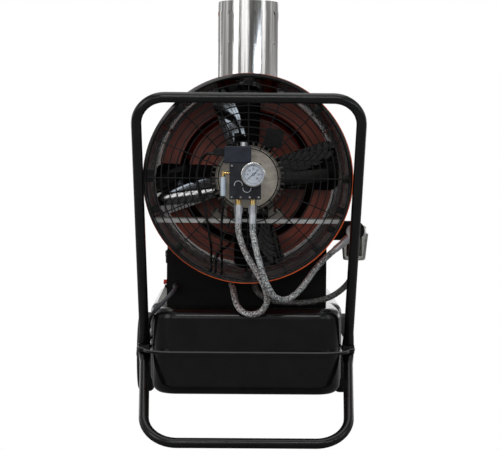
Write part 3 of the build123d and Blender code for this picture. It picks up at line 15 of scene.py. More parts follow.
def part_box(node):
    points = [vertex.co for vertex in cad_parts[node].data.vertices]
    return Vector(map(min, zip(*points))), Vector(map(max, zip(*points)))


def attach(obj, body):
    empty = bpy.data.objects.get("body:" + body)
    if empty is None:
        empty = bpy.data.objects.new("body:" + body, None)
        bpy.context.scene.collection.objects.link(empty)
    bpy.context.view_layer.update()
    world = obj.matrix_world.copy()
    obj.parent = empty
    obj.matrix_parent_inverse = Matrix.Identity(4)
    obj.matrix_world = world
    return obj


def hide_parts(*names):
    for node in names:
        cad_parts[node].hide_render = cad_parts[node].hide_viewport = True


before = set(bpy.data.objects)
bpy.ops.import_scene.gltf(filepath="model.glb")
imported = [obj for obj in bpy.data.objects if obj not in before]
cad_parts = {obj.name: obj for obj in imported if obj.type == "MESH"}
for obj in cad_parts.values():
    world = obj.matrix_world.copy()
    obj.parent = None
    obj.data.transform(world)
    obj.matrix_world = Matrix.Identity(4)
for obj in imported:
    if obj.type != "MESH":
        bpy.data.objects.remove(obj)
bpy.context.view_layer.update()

# %% [markdown]
# The CAD counts a piece's place in millimetres from the plane of the drum's inlet rim. The same
# three numbers are easier to read here too, so one helper turns them into a point in metres.

# %% Places on the heater
MM = 0.001
rim_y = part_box("drum_shell")[0].y
axis_z = (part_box("drum_shell")[0].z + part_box("drum_shell")[1].z) / 2


def place(x, depth, z):
    """Point given across, forwards from the inlet rim and up, in millimetres."""
    return Vector((x * MM, rim_y + depth * MM, z * MM))


def on_axis(depth, radius=0.0, angle=0.0):
    """Point beside the drum axis, with the angle seen from the inlet."""
    turn = math.radians(angle)
    return place(radius * math.cos(turn), depth, axis_z / MM + radius * math.sin(turn))


print("inlet rim at y", round(rim_y, 4), "drum axis at z", round(axis_z, 4))

# %% [markdown]
# The photograph was taken from far away with a long lens, a little above the middle of the drum
# and almost square to it. A long lens keeps the tank and the drum in the proportions of the photo.
# The eye's place is in metres, and the three small turns are in degrees.

# %% Camera
PHOTO_WIDTH = 500
FOCAL_PIXELS = 1550
SENSOR = 36.0
EYE_X, EYE_BACK, EYE_Z = -0.030, 3.641, 0.690
PITCH, YAW, ROLL = 2.77, -0.555, 0.45

camera_data = bpy.data.cameras.new("camera")
camera_data.sensor_width = SENSOR
camera_data.lens = SENSOR * FOCAL_PIXELS / PHOTO_WIDTH
camera = bpy.data.objects.new("camera", camera_data)
bpy.context.scene.collection.objects.link(camera)
level = Euler((math.radians(90 - PITCH), 0, math.radians(YAW))).to_quaternion()
camera.location = (EYE_X, rim_y - EYE_BACK, EYE_Z)
camera.rotation_mode = "QUATERNION"
camera.rotation_quaternion = level @ Quaternion((0, 0, 1), math.radians(ROLL))
bpy.context.scene.camera = camera
print("lens", round(camera_data.lens, 1), "mm")

# %% [markdown]
# The photo is a cut-out on plain white. The floor only sends light back up and isn't seen itself,
# and the sky is white where the camera sees it but much dimmer as a light.


# %% Floor and sky
def deselect():
    bpy.ops.object.select_all(action="DESELECT")


def new_material(name):
    """A material made of nodes, with its node tree and its shader."""
    material = bpy.data.materials.new(name)
    material.use_nodes = True
    return material, material.node_tree, material.node_tree.nodes["Principled BSDF"]


FLOOR_SIZE = 60.0
FLOOR_GREY = (0.25, 0.25, 0.25, 1)
floor_paint, _, floor_shader = new_material("floor_paint")
floor_shader.inputs["Base Color"].default_value = FLOOR_GREY
floor_shader.inputs["Roughness"].default_value = 0.9
deselect()
bpy.ops.mesh.primitive_plane_add(size=FLOOR_SIZE)
floor = bpy.context.active_object
floor.name = "floor"
floor.data.materials.append(floor_paint)
floor.visible_camera = False

SKY_SEEN = 1.0
SKY_LIGHT = 0.34
world = bpy.data.worlds.new("studio")
bpy.context.scene.world = world
world.use_nodes = True
sky = world.node_tree
seen = sky.nodes.new("ShaderNodeLightPath")
strength = sky.nodes.new("ShaderNodeMapRange")
strength.inputs["To Min"].default_value = SKY_LIGHT
strength.inputs["To Max"].default_value = SKY_SEEN
sky.links.new(seen.outputs["Is Camera Ray"], strength.inputs["Value"])
sky.links.new(strength.outputs["Result"], sky.nodes["Background"].inputs["Strength"])
sky.nodes["Background"].inputs["Color"].default_value = (1, 1, 1, 1)
bpy.context.scene.view_settings.view_transform = "Standard"
print("floor", FLOOR_SIZE, "m, sky", SKY_LIGHT)

# %% [markdown]
# A glossy black machine is drawn by what it reflects. Large soft lamps at both sides, above and
# behind give long calm highlights. Each row holds a lamp's name, its place, the point that it
# faces, its width and height in metres and its power in watts.


# %% Lamps
def softbox(name, spot, aim, width, height, power, colour=(1, 1, 1), roll=0.0):
    """Rectangular area lamp at a spot, turned to face the aim and rolled about that line."""
    data = bpy.data.lights.new(name, "AREA")
    data.shape = "RECTANGLE"
    data.size, data.size_y, data.energy, data.color = width, height, power, colour
    lamp = bpy.data.objects.new(name, data)
    bpy.context.scene.collection.objects.link(lamp)
    lamp.location = spot
    lamp.rotation_mode = "QUATERNION"
    facing = (Vector(aim) - Vector(spot)).to_track_quat("-Z", "Y")
    lamp.rotation_quaternion = facing @ Quaternion((0, 0, 1), math.radians(roll))


inlet = (0, rim_y, axis_z)
lamps = [
    ("tall_left", (-3.1, rim_y - 2.5, 1.6), inlet, 1.5, 2.2, 24),
    ("camera_side", (-1.3, rim_y - 5.4, 1.6), inlet, 2.6, 1.5, 16),
    ("tall_right", (3.5, rim_y - 1.7, 1.5), inlet, 0.9, 2.2, 9),
    ("side_left", (-3.4, rim_y + 1.0, 1.4), inlet, 2.2, 2.0, 5),
    ("strip_left", (-2.6, rim_y + 2.4, 1.4), inlet, 0.5, 2.0, 4),
    ("side_right", (3.3, rim_y + 1.4, 1.3), inlet, 1.8, 1.8, 4),
    ("low_front", (0.3, rim_y - 3.4, 2.6), (0, rim_y, 0.2), 2.2, 0.35, 26),
    ("overhead", (0.0, -0.2, 3.8), (0, 0, 0), 3.4, 3.4, 60),
    ("high_back", (0.0, 3.6, 2.0), (0, 0, 0.4), 4.0, 1.2, 16),
    ("behind_right", (3.0, 2.8, 0.55), (0, 0, 0.4), 1.8, 0.9, 12),
    ("behind_left", (-3.0, 2.8, 0.55), (0, 0, 0.4), 1.8, 0.9, 12),
    ("far_end", (0.0, 3.2, 0.6), (0, 0, 0.6), 2.4, 1.4, 12),
]
for lamp_row in lamps:
    softbox(*lamp_row)
print("lamps", len(lamps))

# %% [markdown]
# The fan's glossy blades mirror the panes of a window. A blade is bent round one line only, so it
# shows each pane short in one direction and as it is in the other. Two long low panes at the right
# lie in the top blade, and an upright pane high in front lies in the left blade. The point that a
# pane faces is given by its depth, its distance from the drum's axis and its angle.

# %% Window panes in the fan blades
WINDOW_BLUE = (0.78, 0.88, 1.0)
PANE_ROLL = 7.5
TOP, LEFT = 90, 180
softbox("pane_one", (2.0, -3.0, 1.148), on_axis(200, 180, TOP), 1.60, 0.060, 3.2, WINDOW_BLUE,
        PANE_ROLL)
softbox("pane_two", (2.2, -2.87, 1.058), on_axis(200, 140, TOP), 1.30, 0.065, 2.8, WINDOW_BLUE,
        PANE_ROLL)
softbox("pane_three", (-0.62, -2.90, 2.75), on_axis(200, 170, LEFT), 0.12, 1.25, 4, WINDOW_BLUE)

# %% [markdown]
# A finish is a tree of shader nodes. These helpers add the nodes that most finishes need, each
# with its inputs set to a plain value or linked to the output of another node.


# %% Helpers for shader nodes
def feed(tree, socket, value):
    """Links a socket to the output of another node, or sets it to a plain value."""
    if isinstance(value, bpy.types.NodeSocket):
        tree.links.new(value, socket)
    else:
        socket.default_value = value


def add_node(tree, kind, inputs):
    """A new node with its inputs fed by their names."""
    node = tree.nodes.new(kind)
    for name, value in inputs.items():
        feed(tree, node.inputs[name], value)
    return node


def maths(tree, operation, first, second=0.0):
    """The result of a Math node, whose two inputs are numbers or the outputs of other nodes."""
    node = tree.nodes.new("ShaderNodeMath")
    node.operation = operation
    for socket, value in zip(node.inputs, (first, second)):
        feed(tree, socket, value)
    return node.outputs[0]


def object_place(tree):
    """The spot's place in the heater's own metres."""
    return tree.nodes.new("ShaderNodeTexCoord").outputs["Object"]


def noise(tree, vector, scale, detail):
    """Soft noise of a number of spots in a metre."""
    made = add_node(tree, "ShaderNodeTexNoise",
                    {"Vector": vector, "Scale": scale, "Detail": detail})
    return made.outputs["Fac"]


def two_colours(tree, factor, low, dark, high, light):
    """Runs from a dark colour at the low factor to a light one at the high factor."""
    ramp = tree.nodes.new("ShaderNodeValToRGB")
    first, last = ramp.color_ramp.elements
    first.position, first.color = low, (*dark, 1)
    last.position, last.color = high, (*light, 1)
    tree.links.new(factor, ramp.inputs["Fac"])
    return ramp.outputs["Color"]


def mixed_colours(tree, factor, first, second):
    """A share of the second colour over the first, and the factor is that share."""
    mixed = tree.nodes.new("ShaderNodeMix")
    mixed.data_type = "RGBA"
    for name, value in (("Factor", factor), ("A", first), ("B", second)):
        feed(tree, mixed.inputs[name], value)
    return mixed.outputs["Result"]


def relief_normal(tree, height, depth):
    """The normal of a surface that the height lifts by up to a depth in millimetres."""
    bump = add_node(tree, "ShaderNodeBump", {"Distance": depth * MM, "Height": height})
    return bump.outputs["Normal"]


# %% [markdown]
# Paint, metal and plastic are never one flat colour. Each finish here mixes two near colours by a
# soft noise, lets the gloss wander between two values, and adds a fine relief: orange peel on
# enamel, grain on castings, drawn lines on polished metal. The noise reads object coordinates,
# which are the heater's own metres, so the grain has a real size on every piece.

# %% One recipe for the plain finishes
COAT_ROUGH = 0.06
CLOUD_GRAINS = 8
COLOUR_LOW, COLOUR_HIGH = 0.35, 0.65
GLOSS_LOW, GLOSS_HIGH = 0.3, 0.7
finishes = {}


def finish(name, dark, light, rough, grain, relief=0.0, metal=0.0, coat=0.0,
           stretch=(1, 1, 1), shine=0.5):
    """Two mottled colours, uneven gloss and a relief; grain is the number of spots in a metre."""
    material, tree, shader = new_material(name)
    scale = add_node(tree, "ShaderNodeMapping", {"Vector": object_place(tree), "Scale": stretch})
    spot = scale.outputs["Vector"]
    clouds = noise(tree, spot, grain / CLOUD_GRAINS, 6)
    gloss = add_node(tree, "ShaderNodeMapRange",
                     {"Value": clouds, "From Min": GLOSS_LOW, "From Max": GLOSS_HIGH,
                      "To Min": rough[0], "To Max": rough[1]})
    looks = {
        "Base Color": two_colours(tree, clouds, COLOUR_LOW, dark, COLOUR_HIGH, light),
        "Roughness": gloss.outputs["Result"],
        "Metallic": metal,
        "Coat Weight": coat,
        "Coat Roughness": COAT_ROUGH,
        "Specular IOR Level": shine,
    }
    if relief:
        looks["Normal"] = relief_normal(tree, noise(tree, spot, grain, 3), relief)
    for socket_name, value in looks.items():
        feed(tree, shader.inputs[socket_name], value)
    finishes[name] = material
    return material


# %% [markdown]
# The sheet metal is enamelled: orange outside the drum, a mirror-like black on the shroud and the
# blades, a softer black on the tank and the tubes. Inside the drum the furnace has a dull
# heat-proof red-brown.

# %% Paints
finish("orange_paint", (0.74, 0.100, 0.012), (0.80, 0.115, 0.016), (0.22, 0.30), 260, 0.03,
       coat=0.4)
finish("gloss_black", (0.004, 0.003, 0.003), (0.009, 0.007, 0.007), (0.03, 0.06), 220, 0.006,
       coat=0.5)
finish("wire_black", (0.003, 0.003, 0.003), (0.008, 0.008, 0.008), (0.30, 0.42), 500, 0.02,
       shine=0.2)
finish("satin_black", (0.003, 0.003, 0.003), (0.006, 0.006, 0.006), (0.42, 0.55), 700, 0.04,
       shine=0.12)
finish("tube_black", (0.003, 0.003, 0.003), (0.006, 0.006, 0.006), (0.20, 0.26), 200, 0.006,
       shine=0.35)
finish("tank_black", (0.003, 0.003, 0.003), (0.005, 0.005, 0.005), (0.16, 0.22), 240, 0.015,
       shine=0.3)
finish("furnace_paint", (0.24, 0.045, 0.024), (0.50, 0.10, 0.055), (0.26, 0.40), 60, 0.03)
finish("rim_paint", (0.03, 0.03, 0.033), (0.06, 0.06, 0.065), (0.35, 0.5), 400, 0.04)
finish("grey_enamel", (0.20, 0.21, 0.22), (0.28, 0.29, 0.30), (0.3, 0.45), 300, 0.04)
print("paints", len(finishes))

# %% [markdown]
# Bare metals differ by how they were worked. The flue is drawn and polished, so its noise is
# stretched along the pipe into fine upright lines. Their wide swing from dark to light is partly
# the drawn lines and partly painted reflection: the upright bright and dark stripes that a
# polished pipe mirrors. The shelf is zinc plated, the motor is cast.

# %% Metals
# The flue's upright streaks are partly drawn lines and partly painted reflection stripes.
finish("polished_flue", (0.25, 0.247, 0.24), (0.72, 0.71, 0.70), (0.06, 0.16), 600, 0.12,
       metal=1.0, stretch=(1, 1, 0.03))
finish("burner_steel", (0.22, 0.20, 0.19), (0.42, 0.40, 0.39), (0.35, 0.55), 200, 0.05, metal=1.0)
finish("zinc_plate", (0.50, 0.50, 0.485), (0.74, 0.74, 0.71), (0.32, 0.5), 120, 0.02, metal=0.4)
finish("motor_alloy", (0.42, 0.38, 0.32), (0.62, 0.57, 0.49), (0.35, 0.52), 500, 0.12, metal=0.5)
finish("bolt_zinc", (0.30, 0.30, 0.29), (0.52, 0.52, 0.50), (0.28, 0.42), 500, 0.02, metal=1.0)
finish("nut_steel", (0.50, 0.52, 0.55), (0.78, 0.80, 0.84), (0.30, 0.48), 400, 0.02, metal=0.7)
finish("bezel_chrome", (0.70, 0.70, 0.69), (0.90, 0.89, 0.87), (0.10, 0.2), 400, 0.01, metal=1.0)
finish("brass", (0.78, 0.52, 0.18), (0.95, 0.72, 0.32), (0.2, 0.36), 300, 0.03, metal=0.9)
finish("head_alloy", (0.50, 0.50, 0.49), (0.72, 0.72, 0.70), (0.25, 0.42), 300, 0.12, metal=0.9)
finish("axle_steel", (0.35, 0.35, 0.35), (0.58, 0.58, 0.58), (0.25, 0.4), 300, 0.02, metal=1.0)
print("finishes so far", len(finishes))

# %% [markdown]
# Plastics and rubbers have no metal in them and a coarser skin. The pale line is a sleeve over
# the burner's fuel pipe, and the dial is bright white enamel that the lens tints cooler.

# %% Plastics, rubbers and small parts
finish("pump_black", (0.006, 0.008, 0.012), (0.013, 0.016, 0.022), (0.25, 0.36), 400, 0.04,
       shine=0.4)
finish("coil_plastic", (0.012, 0.014, 0.026), (0.022, 0.026, 0.042), (0.38, 0.5), 600, 0.05,
       shine=0.3)
finish("black_plastic", (0.004, 0.004, 0.004), (0.009, 0.009, 0.009), (0.4, 0.55), 700, 0.05,
       shine=0.2)
finish("cable_black", (0.006, 0.006, 0.007), (0.014, 0.014, 0.015), (0.42, 0.55), 600, 0.04,
       shine=0.35)
finish("knob_black", (0.014, 0.014, 0.014), (0.028, 0.028, 0.028), (0.3, 0.45), 600, 0.04)
finish("rocker_black", (0.012, 0.012, 0.012), (0.022, 0.022, 0.022), (0.22, 0.35), 600, 0.02)
finish("button_red", (0.42, 0.014, 0.010), (0.60, 0.03, 0.02), (0.25, 0.4), 500, 0.02)
finish("lid_grey", (0.42, 0.42, 0.41), (0.54, 0.54, 0.52), (0.35, 0.5), 500, 0.04)
finish("dial_white", (0.80, 0.84, 0.90), (0.88, 0.91, 0.96), (0.35, 0.45), 60, 0.005)
finish("hand_black", (0.012, 0.02, 0.06), (0.02, 0.03, 0.08), (0.3, 0.4), 500, 0.005)
finish("line_pale", (0.62, 0.72, 0.82), (0.86, 0.92, 0.97), (0.2, 0.4), 200, 0.03)
finish("tyre_rubber", (0.008, 0.008, 0.009), (0.018, 0.018, 0.019), (0.6, 0.8), 500, 0.12,
       shine=0.3)
finish("lead_rubber", (0.028, 0.029, 0.034), (0.048, 0.050, 0.058), (0.4, 0.55), 400, 0.05)
finish("paper", (0.46, 0.44, 0.39), (0.64, 0.62, 0.56), (0.8, 0.95), 500, 0.2)
print("finishes so far", len(finishes))


# %% [markdown]
# Two parts are seen through: the gauge's glass and the filter's smoke-tinted bowl. Transmission
# lets light pass, and the tint is the finish's own pair of colours.

# %% Glass and the smoky bowl
def see_through(name, tint, rough, ior):
    """Clear or tinted plastic or glass with a faint unevenness in its gloss."""
    material = finish(name, tuple(0.92 * value for value in tint), tint, (rough, rough + 0.06), 120)
    shader = material.node_tree.nodes["Principled BSDF"]
    shader.inputs["Transmission Weight"].default_value = 1.0
    shader.inputs["IOR"].default_value = ior


see_through("clear_glass", (0.97, 0.98, 1.0), 0.01, 1.10)
see_through("smoky_bowl", (0.40, 0.40, 0.385), 0.06, 1.3)
print("finishes so far", len(finishes))

# %% [markdown]
# The hoses wear a woven sleeve of steel wire. The weave follows the hose, so it is drawn in the
# hose's own UV map: one direction runs round the hose and the other along it. Two families of
# strands cross at an angle, each passes over the other in turn, and one strand is coloured. The
# colour also holds painted shade low in the weave and painted highlights and glints on the wires.

# %% The woven steel sleeve
STRANDS_ROUND = 7
COLOURED_STRAND = 2
FLECK_SHARE = 0.6
GLINTS = 240
GLINT_MIDDLE, GLINT_GAIN = 0.45, 1.3
WEAVE_LOW, WEAVE_HIGH = 0.22, 0.52
WEAVE_RELIEF = 0.5


def braid(name, hose_length, hose_d, dark, light, fleck):
    """Woven wire over a hose of that length and diameter, in millimetres."""
    material, tree, shader = new_material(name)
    uv = tree.nodes.new("ShaderNodeUVMap").outputs["UV"]
    split = add_node(tree, "ShaderNodeSeparateXYZ", {"Vector": uv})
    strands_along = round(STRANDS_ROUND * hose_length / (math.pi * hose_d))
    across = maths(tree, "MULTIPLY", split.outputs["X"], STRANDS_ROUND)
    along = maths(tree, "MULTIPLY", split.outputs["Y"], strands_along)
    families = [maths(tree, "ADD", along, across), maths(tree, "SUBTRACT", along, across)]
    crowns = [maths(tree, "PINGPONG", family, 0.5) for family in families]
    cells = [maths(tree, "FLOOR", family) for family in families]
    on_top = maths(tree, "MODULO", maths(tree, "ABSOLUTE", maths(tree, "ADD", *cells)), 2)
    weave = add_node(tree, "ShaderNodeMix", {"Factor": on_top, "A": crowns[0], "B": crowns[1]})
    height = weave.outputs["Result"]
    # Painted glints: a fine noise lifts and lowers the wires' colour at random spots.
    glint = noise(tree, object_place(tree), GLINTS, 2)
    painted_glints = maths(tree, "MULTIPLY", maths(tree, "SUBTRACT", glint, GLINT_MIDDLE), GLINT_GAIN)
    # Painted shade and highlight: the colour is darkest low in the weave, between the wires, and
    # lightest on the strands' crowns.
    shade = two_colours(tree, maths(tree, "ADD", height, painted_glints), WEAVE_LOW, dark, WEAVE_HIGH, light)
    strand = maths(tree, "MODULO", cells[0], STRANDS_ROUND)
    coloured = maths(tree, "MULTIPLY", maths(tree, "COMPARE", strand, COLOURED_STRAND),
                     maths(tree, "COMPARE", on_top, 0))
    flecked = mixed_colours(tree, maths(tree, "MULTIPLY", coloured, FLECK_SHARE), shade,
                            (*fleck, 1))
    looks = {"Metallic": 0.2, "Roughness": 0.34, "Base Color": flecked,
             "Normal": relief_normal(tree, height, WEAVE_RELIEF)}
    for socket_name, value in looks.items():
        feed(tree, shader.inputs[socket_name], value)
    return material


# %% [markdown]
# Three finishes depend on where a spot is. The bolts that hold the guard were painted over with
# it, while those on the motor and the tank kept their zinc. The motor's fins are mixed darker than
# the end bell inside them. The tank's two halves meet in a flange, and a thin grey band along its
# upper edge is a painted highlight: the one thin line of light that the edge catches.


# %% Paint on the guard's bolts, darker fins and a painted highlight along the tank's flange
def mix_in(material, tests, colour, share):
    """Mixes a share of a colour into a finish at the spots that pass every test."""
    tree = material.node_tree
    base = tree.nodes["Principled BSDF"].inputs["Base Color"]
    where = tests[0]
    for test in tests[1:]:
        where = maths(tree, "MULTIPLY", where, test)
    share_there = maths(tree, "MULTIPLY", where, share)
    tree.links.new(mixed_colours(tree, share_there, base.links[0].from_socket, (*colour, 1)), base)


def between(tree, value, low, high):
    """The two tests that a value lies between two numbers."""
    return [maths(tree, "GREATER_THAN", value, low), maths(tree, "LESS_THAN", value, high)]


def beyond(name, radius, low_depth, high_depth, colour, share):
    """Mixes in a colour beyond a radius round the drum's axis, between two depths, in mm."""
    tree = finishes[name].node_tree
    split = add_node(tree, "ShaderNodeSeparateXYZ", {"Vector": object_place(tree)})
    across = maths(tree, "MULTIPLY", split.outputs["X"], split.outputs["X"])
    rise = maths(tree, "SUBTRACT", split.outputs["Z"], axis_z)
    distance = maths(tree, "SQRT", maths(tree, "ADD", across, maths(tree, "MULTIPLY", rise, rise)))
    outside = maths(tree, "GREATER_THAN", distance, radius * MM)
    depths = between(tree, split.outputs["Y"], rim_y + low_depth * MM, rim_y + high_depth * MM)
    mix_in(finishes[name], [outside, *depths], colour, share)


def between_heights(name, low_z, high_z, colour, share):
    """Mixes in a colour between two heights above the floor, in millimetres."""
    tree = finishes[name].node_tree
    split = add_node(tree, "ShaderNodeSeparateXYZ", {"Vector": object_place(tree)})
    mix_in(finishes[name], between(tree, split.outputs["Z"], low_z * MM, high_z * MM), colour,
           share)


GUARD_PAINT = (0.012, 0.012, 0.012)
FIN_DARKER = (0.035, 0.028, 0.024)
PAINTED_HIGHLIGHT_GREY = (0.11, 0.11, 0.115)
beyond("bolt_zinc", 205, -12, 12, GUARD_PAINT, 0.98)
# The motor's fins, beyond the end bell's radius, are mixed darker than the end bell.
beyond("motor_alloy", 73.5, -20, 400, FIN_DARKER, 0.72)
# A band of grey along the upper edge of the tank's flange is a painted highlight.
between_heights("tank_black", 204.8, 207.9, PAINTED_HIGHLIGHT_GREY, 0.9)
# The print lists the painted bolts, the darker fins and the painted highlight on the flange.
print("painted bolts, darker fins and a painted highlight")

# %% [markdown]
# Every CAD solid already knows which material slot of the record it belongs to. The solids whose
# shape is right stay as they are, and only take the finish of their slot.

# %% Finishes onto the CAD solids
finished = 0
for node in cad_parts.values():
    for material_slot in node.material_slots:
        if material_slot.material.name in finishes:
            material_slot.material = finishes[material_slot.material.name]
            finished += 1
print("finished", finished)


# %% [markdown]
# A cord, hose or pipe is one smooth curve with a round section. The route's points are the same
# ones as in the CAD source, and the curve passes close inside their corners. The order and the end
# setting come after the points, because set earlier they would be lost. The length is measured on
# the bare line, before it gets its thickness.

# %% A helper for cords, hoses and pipes
def cord_piece(name, route, thick, material, nodes, steps, sides):
    """A NURBS curve on the frame, from millimetres, that stands for CAD solids."""
    data = bpy.data.curves.new(name, "CURVE")
    data.dimensions = "3D"
    data.resolution_u = steps
    data.bevel_resolution = sides
    data.use_fill_caps = True
    spline = data.splines.new("NURBS")
    spline.points.add(len(route) - 1)
    for control, point in zip(spline.points, route):
        control.co = (*place(*point), 1)
    spline.order_u = 3
    spline.use_endpoint_u = True
    piece = bpy.data.objects.new(name, data)
    bpy.context.scene.collection.objects.link(piece)
    bpy.context.view_layer.update()
    line = bpy.data.meshes.new_from_object(piece)
    path = [vertex.co.copy() for vertex in line.vertices]
    bpy.data.meshes.remove(line)
    length = sum((after - before).length for before, after in zip(path, path[1:]))
    data.bevel_depth = thick * MM / 2
    data.materials.append(material)
    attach(piece, "frame")
    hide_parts(*nodes)
    print(name, "length", round(length, 3))
    return piece


# %% [markdown]
# The mains lead leaves the gland at the left of the box, drops onto the tank's flange, runs back
# along it and goes down behind the tank to the floor. The part that the photograph doesn't show
# lies there as four turns of a coil, two beside two, and ends in the plug in the coil's middle.

# %% Mains lead
LEAD_D = 9.0
GLAND_X, GLAND_Z, TAIL_DEPTH = -171.5, 355.0, 122.0
FLANGE_REST, BOLT_REST, FLOOR_REST = 212.8, 218.3, 4.5
lead_route = [
    (GLAND_X, TAIL_DEPTH, GLAND_Z), (GLAND_X, 82.5, GLAND_Z), (-187.0, 60.0, 339.0),
    (-208.5, 60.0, 315.5), (-223.5, 82.0, 299.0), (-233.0, 108.0, 284.0), (-239.0, 137.0, 267.0),
    (-242.0, 168.0, 250.0), (-244.0, 201.0, 231.0), (-245.0, 237.0, 217.0),
    (-246.5, 276.0, FLANGE_REST), (-248.0, 345.0, FLANGE_REST), (-248.5, 440.0, FLANGE_REST),
    (-247.5, 530.0, FLANGE_REST), (-246.0, 588.0, 215.5), (-245.0, 634.0, BOLT_REST + 0.5),
    (-245.0, 683.5, BOLT_REST + 1), (-231.5, 707.5, BOLT_REST + 1), (-208.0, 721.5, 219.0),
    (-188.0, 733.5, 216.5), (-172.0, 743.0, 207.0), (-161.0, 747.5, 189.0),
    (-153.0, 748.5, 161.0), (-147.0, 750.0, 127.0), (-142.0, 754.0, 92.0), (-134.0, 765.0, 57.0),
    (-122.0, 786.0, 27.0), (-107.0, 816.0, 7.5), (-90.5, 851.0, FLOOR_REST),
]
COIL_X, COIL_DEPTH = -31.75, 872.0
COIL_START = 185.0
TURN_POINTS, POINTS_LEFT_OFF = 16, 3
COIL_SHRINK = math.cos(math.pi / TURN_POINTS)
EASE_FROM, EASE_SPAN = 0.72, 0.28
turn_slots = [(54.8, 4.6), (45.4, 4.7), (45.7, 13.8), (54.6, 13.6)]
for step in range(len(turn_slots) * TURN_POINTS - POINTS_LEFT_OFF):
    turn, share = divmod(step / TURN_POINTS, 1)
    radius, height = turn_slots[int(turn)]
    next_radius, next_height = turn_slots[min(int(turn) + 1, len(turn_slots) - 1)]
    ease = max(0.0, (share - EASE_FROM) / EASE_SPAN)
    reach = (radius + (next_radius - radius) * ease) / COIL_SHRINK
    angle = math.radians(COIL_START - 360 * (step + 1) / TURN_POINTS)
    lead_route.append((COIL_X + reach * math.cos(angle), COIL_DEPTH + reach * math.sin(angle),
                       height + (next_height - height) * ease))
into_plug = [
    (8, -62, 13.0), (-16, -71, 9.5), (-44, -68, 6.5), (-62, -48, 10.0), (-66, -24, 20.5),
    (-57, -5, 25.0), (-43, -0.5, 24.5), (-33, 0, 19.5), (-26.5, 0, 19.0),
]
lead_route += [(COIL_X + across, COIL_DEPTH + back, up) for across, back, up in into_plug]
lead = cord_piece("mains_lead", lead_route, LEAD_D, finishes["lead_rubber"],
                  ["power_cord", "power_cord_coil"], steps=10, sides=5)

# %% [markdown]
# Two braided hoses leave the pump's unions: the return hose swings down past the tank's front and
# in through the box, and the suction hose loops out to the filter at the right. A third, darker
# hose brings the fuel from the box to the filter.

# %% Fuel hoses
HOSE_D = 14.5
return_route = [
    (-22.8, -16.0, 518.0), (-22.8, -16.0, 500.0), (-14.0, -16.5, 469.0), (1.0, -14.0, 437.0),
    (18.0, -13.0, 409.0), (35.0, -11.0, 382.0), (46.5, 0.0, 353.0), (47.0, 18.0, 323.0),
    (29.0, 34.0, 301.0), (1.0, 42.0, 296.5), (-22.0, 56.0, 312.0), (-31.0, 80.0, 338.0),
    (-34.0, 106.0, 358.0), (-38.0, 134.0, 361.0), (-38.0, 172.0, 361.0),
]
suction_route = [
    (11.2, -16.0, 518.0), (11.2, -16.0, 501.0), (15.0, -25.0, 480.0), (21.0, -34.0, 452.0),
    (29.0, -36.5, 424.0), (38.0, -36.0, 395.0), (49.0, -29.0, 367.0), (65.0, -12.0, 343.0),
    (91.0, 12.0, 334.0), (119.0, 34.0, 350.0), (142.0, 52.0, 377.0), (164.0, 64.0, 408.0),
    (188.1, 68.5, 433.6), (210.8, 68.5, 453.2),
]
tank_route = [
    (18.0, 172.0, 362.0), (18.0, 137.0, 362.0), (23.5, 118.0, 347.0), (38.0, 116.0, 333.0),
    (64.0, 117.0, 322.5), (98.0, 117.5, 319.0), (134.0, 117.0, 319.0), (169.0, 117.0, 323.0),
    (203.0, 116.5, 333.0), (231.0, 113.0, 352.0), (250.0, 100.0, 376.0), (256.0, 89.0, 398.0),
    (256.0, 89.0, 422.0),
]
STEEL_DARK, STEEL_LIGHT = (0.006, 0.006, 0.006), (0.96, 0.97, 0.96)
GREY_DARK, GREY_LIGHT = (0.004, 0.004, 0.004), (0.26, 0.26, 0.25)
RED_FLECK, TEAL_FLECK, GREY_FLECK = (0.45, 0.05, 0.05), (0.10, 0.30, 0.32), (0.10, 0.10, 0.10)
hoses = {
    "return_hose": (return_route, 0.44, STEEL_DARK, STEEL_LIGHT, RED_FLECK, "braid_steel"),
    "suction_hose": (suction_route, 0.41, STEEL_DARK, STEEL_LIGHT, TEAL_FLECK, "braid_steel"),
    "tank_hose": (tank_route, 0.36, GREY_DARK, GREY_LIGHT, GREY_FLECK, "braid_dark"),
}
for node_name, (route, long, dark, light, fleck, slot_name) in hoses.items():
    woven = braid(node_name + "_braid", long / MM, HOSE_D, dark, light, fleck)
    hose = cord_piece(node_name + "_braided", route, HOSE_D, woven, [node_name],
                      steps=14, sides=6)

# %% [markdown]
# Two thin cables serve the solenoid coil and the motor, and a bent steel pipe in a pale sleeve
# takes the fuel to the burner. All three go down behind the motor and through the drum's slot.

# %% Cables and the burner's fuel line
WIRE_D = 6.0
coil_cable_route = [
    (-80.5, -23.0, 681.0), (-97.0, -23.0, 681.0), (-97.0, 17.0, 680.0), (-111.0, 38.0, 667.0),
    (-121.0, 43.0, 643.0), (-122.0, 45.0, 616.0), (-113.0, 49.0, 589.0), (-103.0, 53.0, 561.0),
    (-98.0, 56.0, 531.0), (-94.0, 60.0, 502.0), (-89.0, 70.0, 475.0), (-86.0, 92.0, 453.0),
    (-87.0, 118.0, 437.0), (-87.5, 144.0, 421.0), (-87.0, 163.0, 398.0), (-87.0, 166.0, 378.0),
    (-87.0, 166.0, 366.0),
]
motor_cable_route = [
    (-27.0, 100.0, 532.0), (-27.0, 100.0, 500.0), (-33.0, 105.0, 475.0), (-46.0, 121.0, 456.0),
    (-61.0, 141.0, 447.0), (-73.0, 156.0, 432.0), (-77.0, 164.0, 409.0), (-76.0, 166.0, 386.0),
    (-76.0, 166.0, 366.0),
]
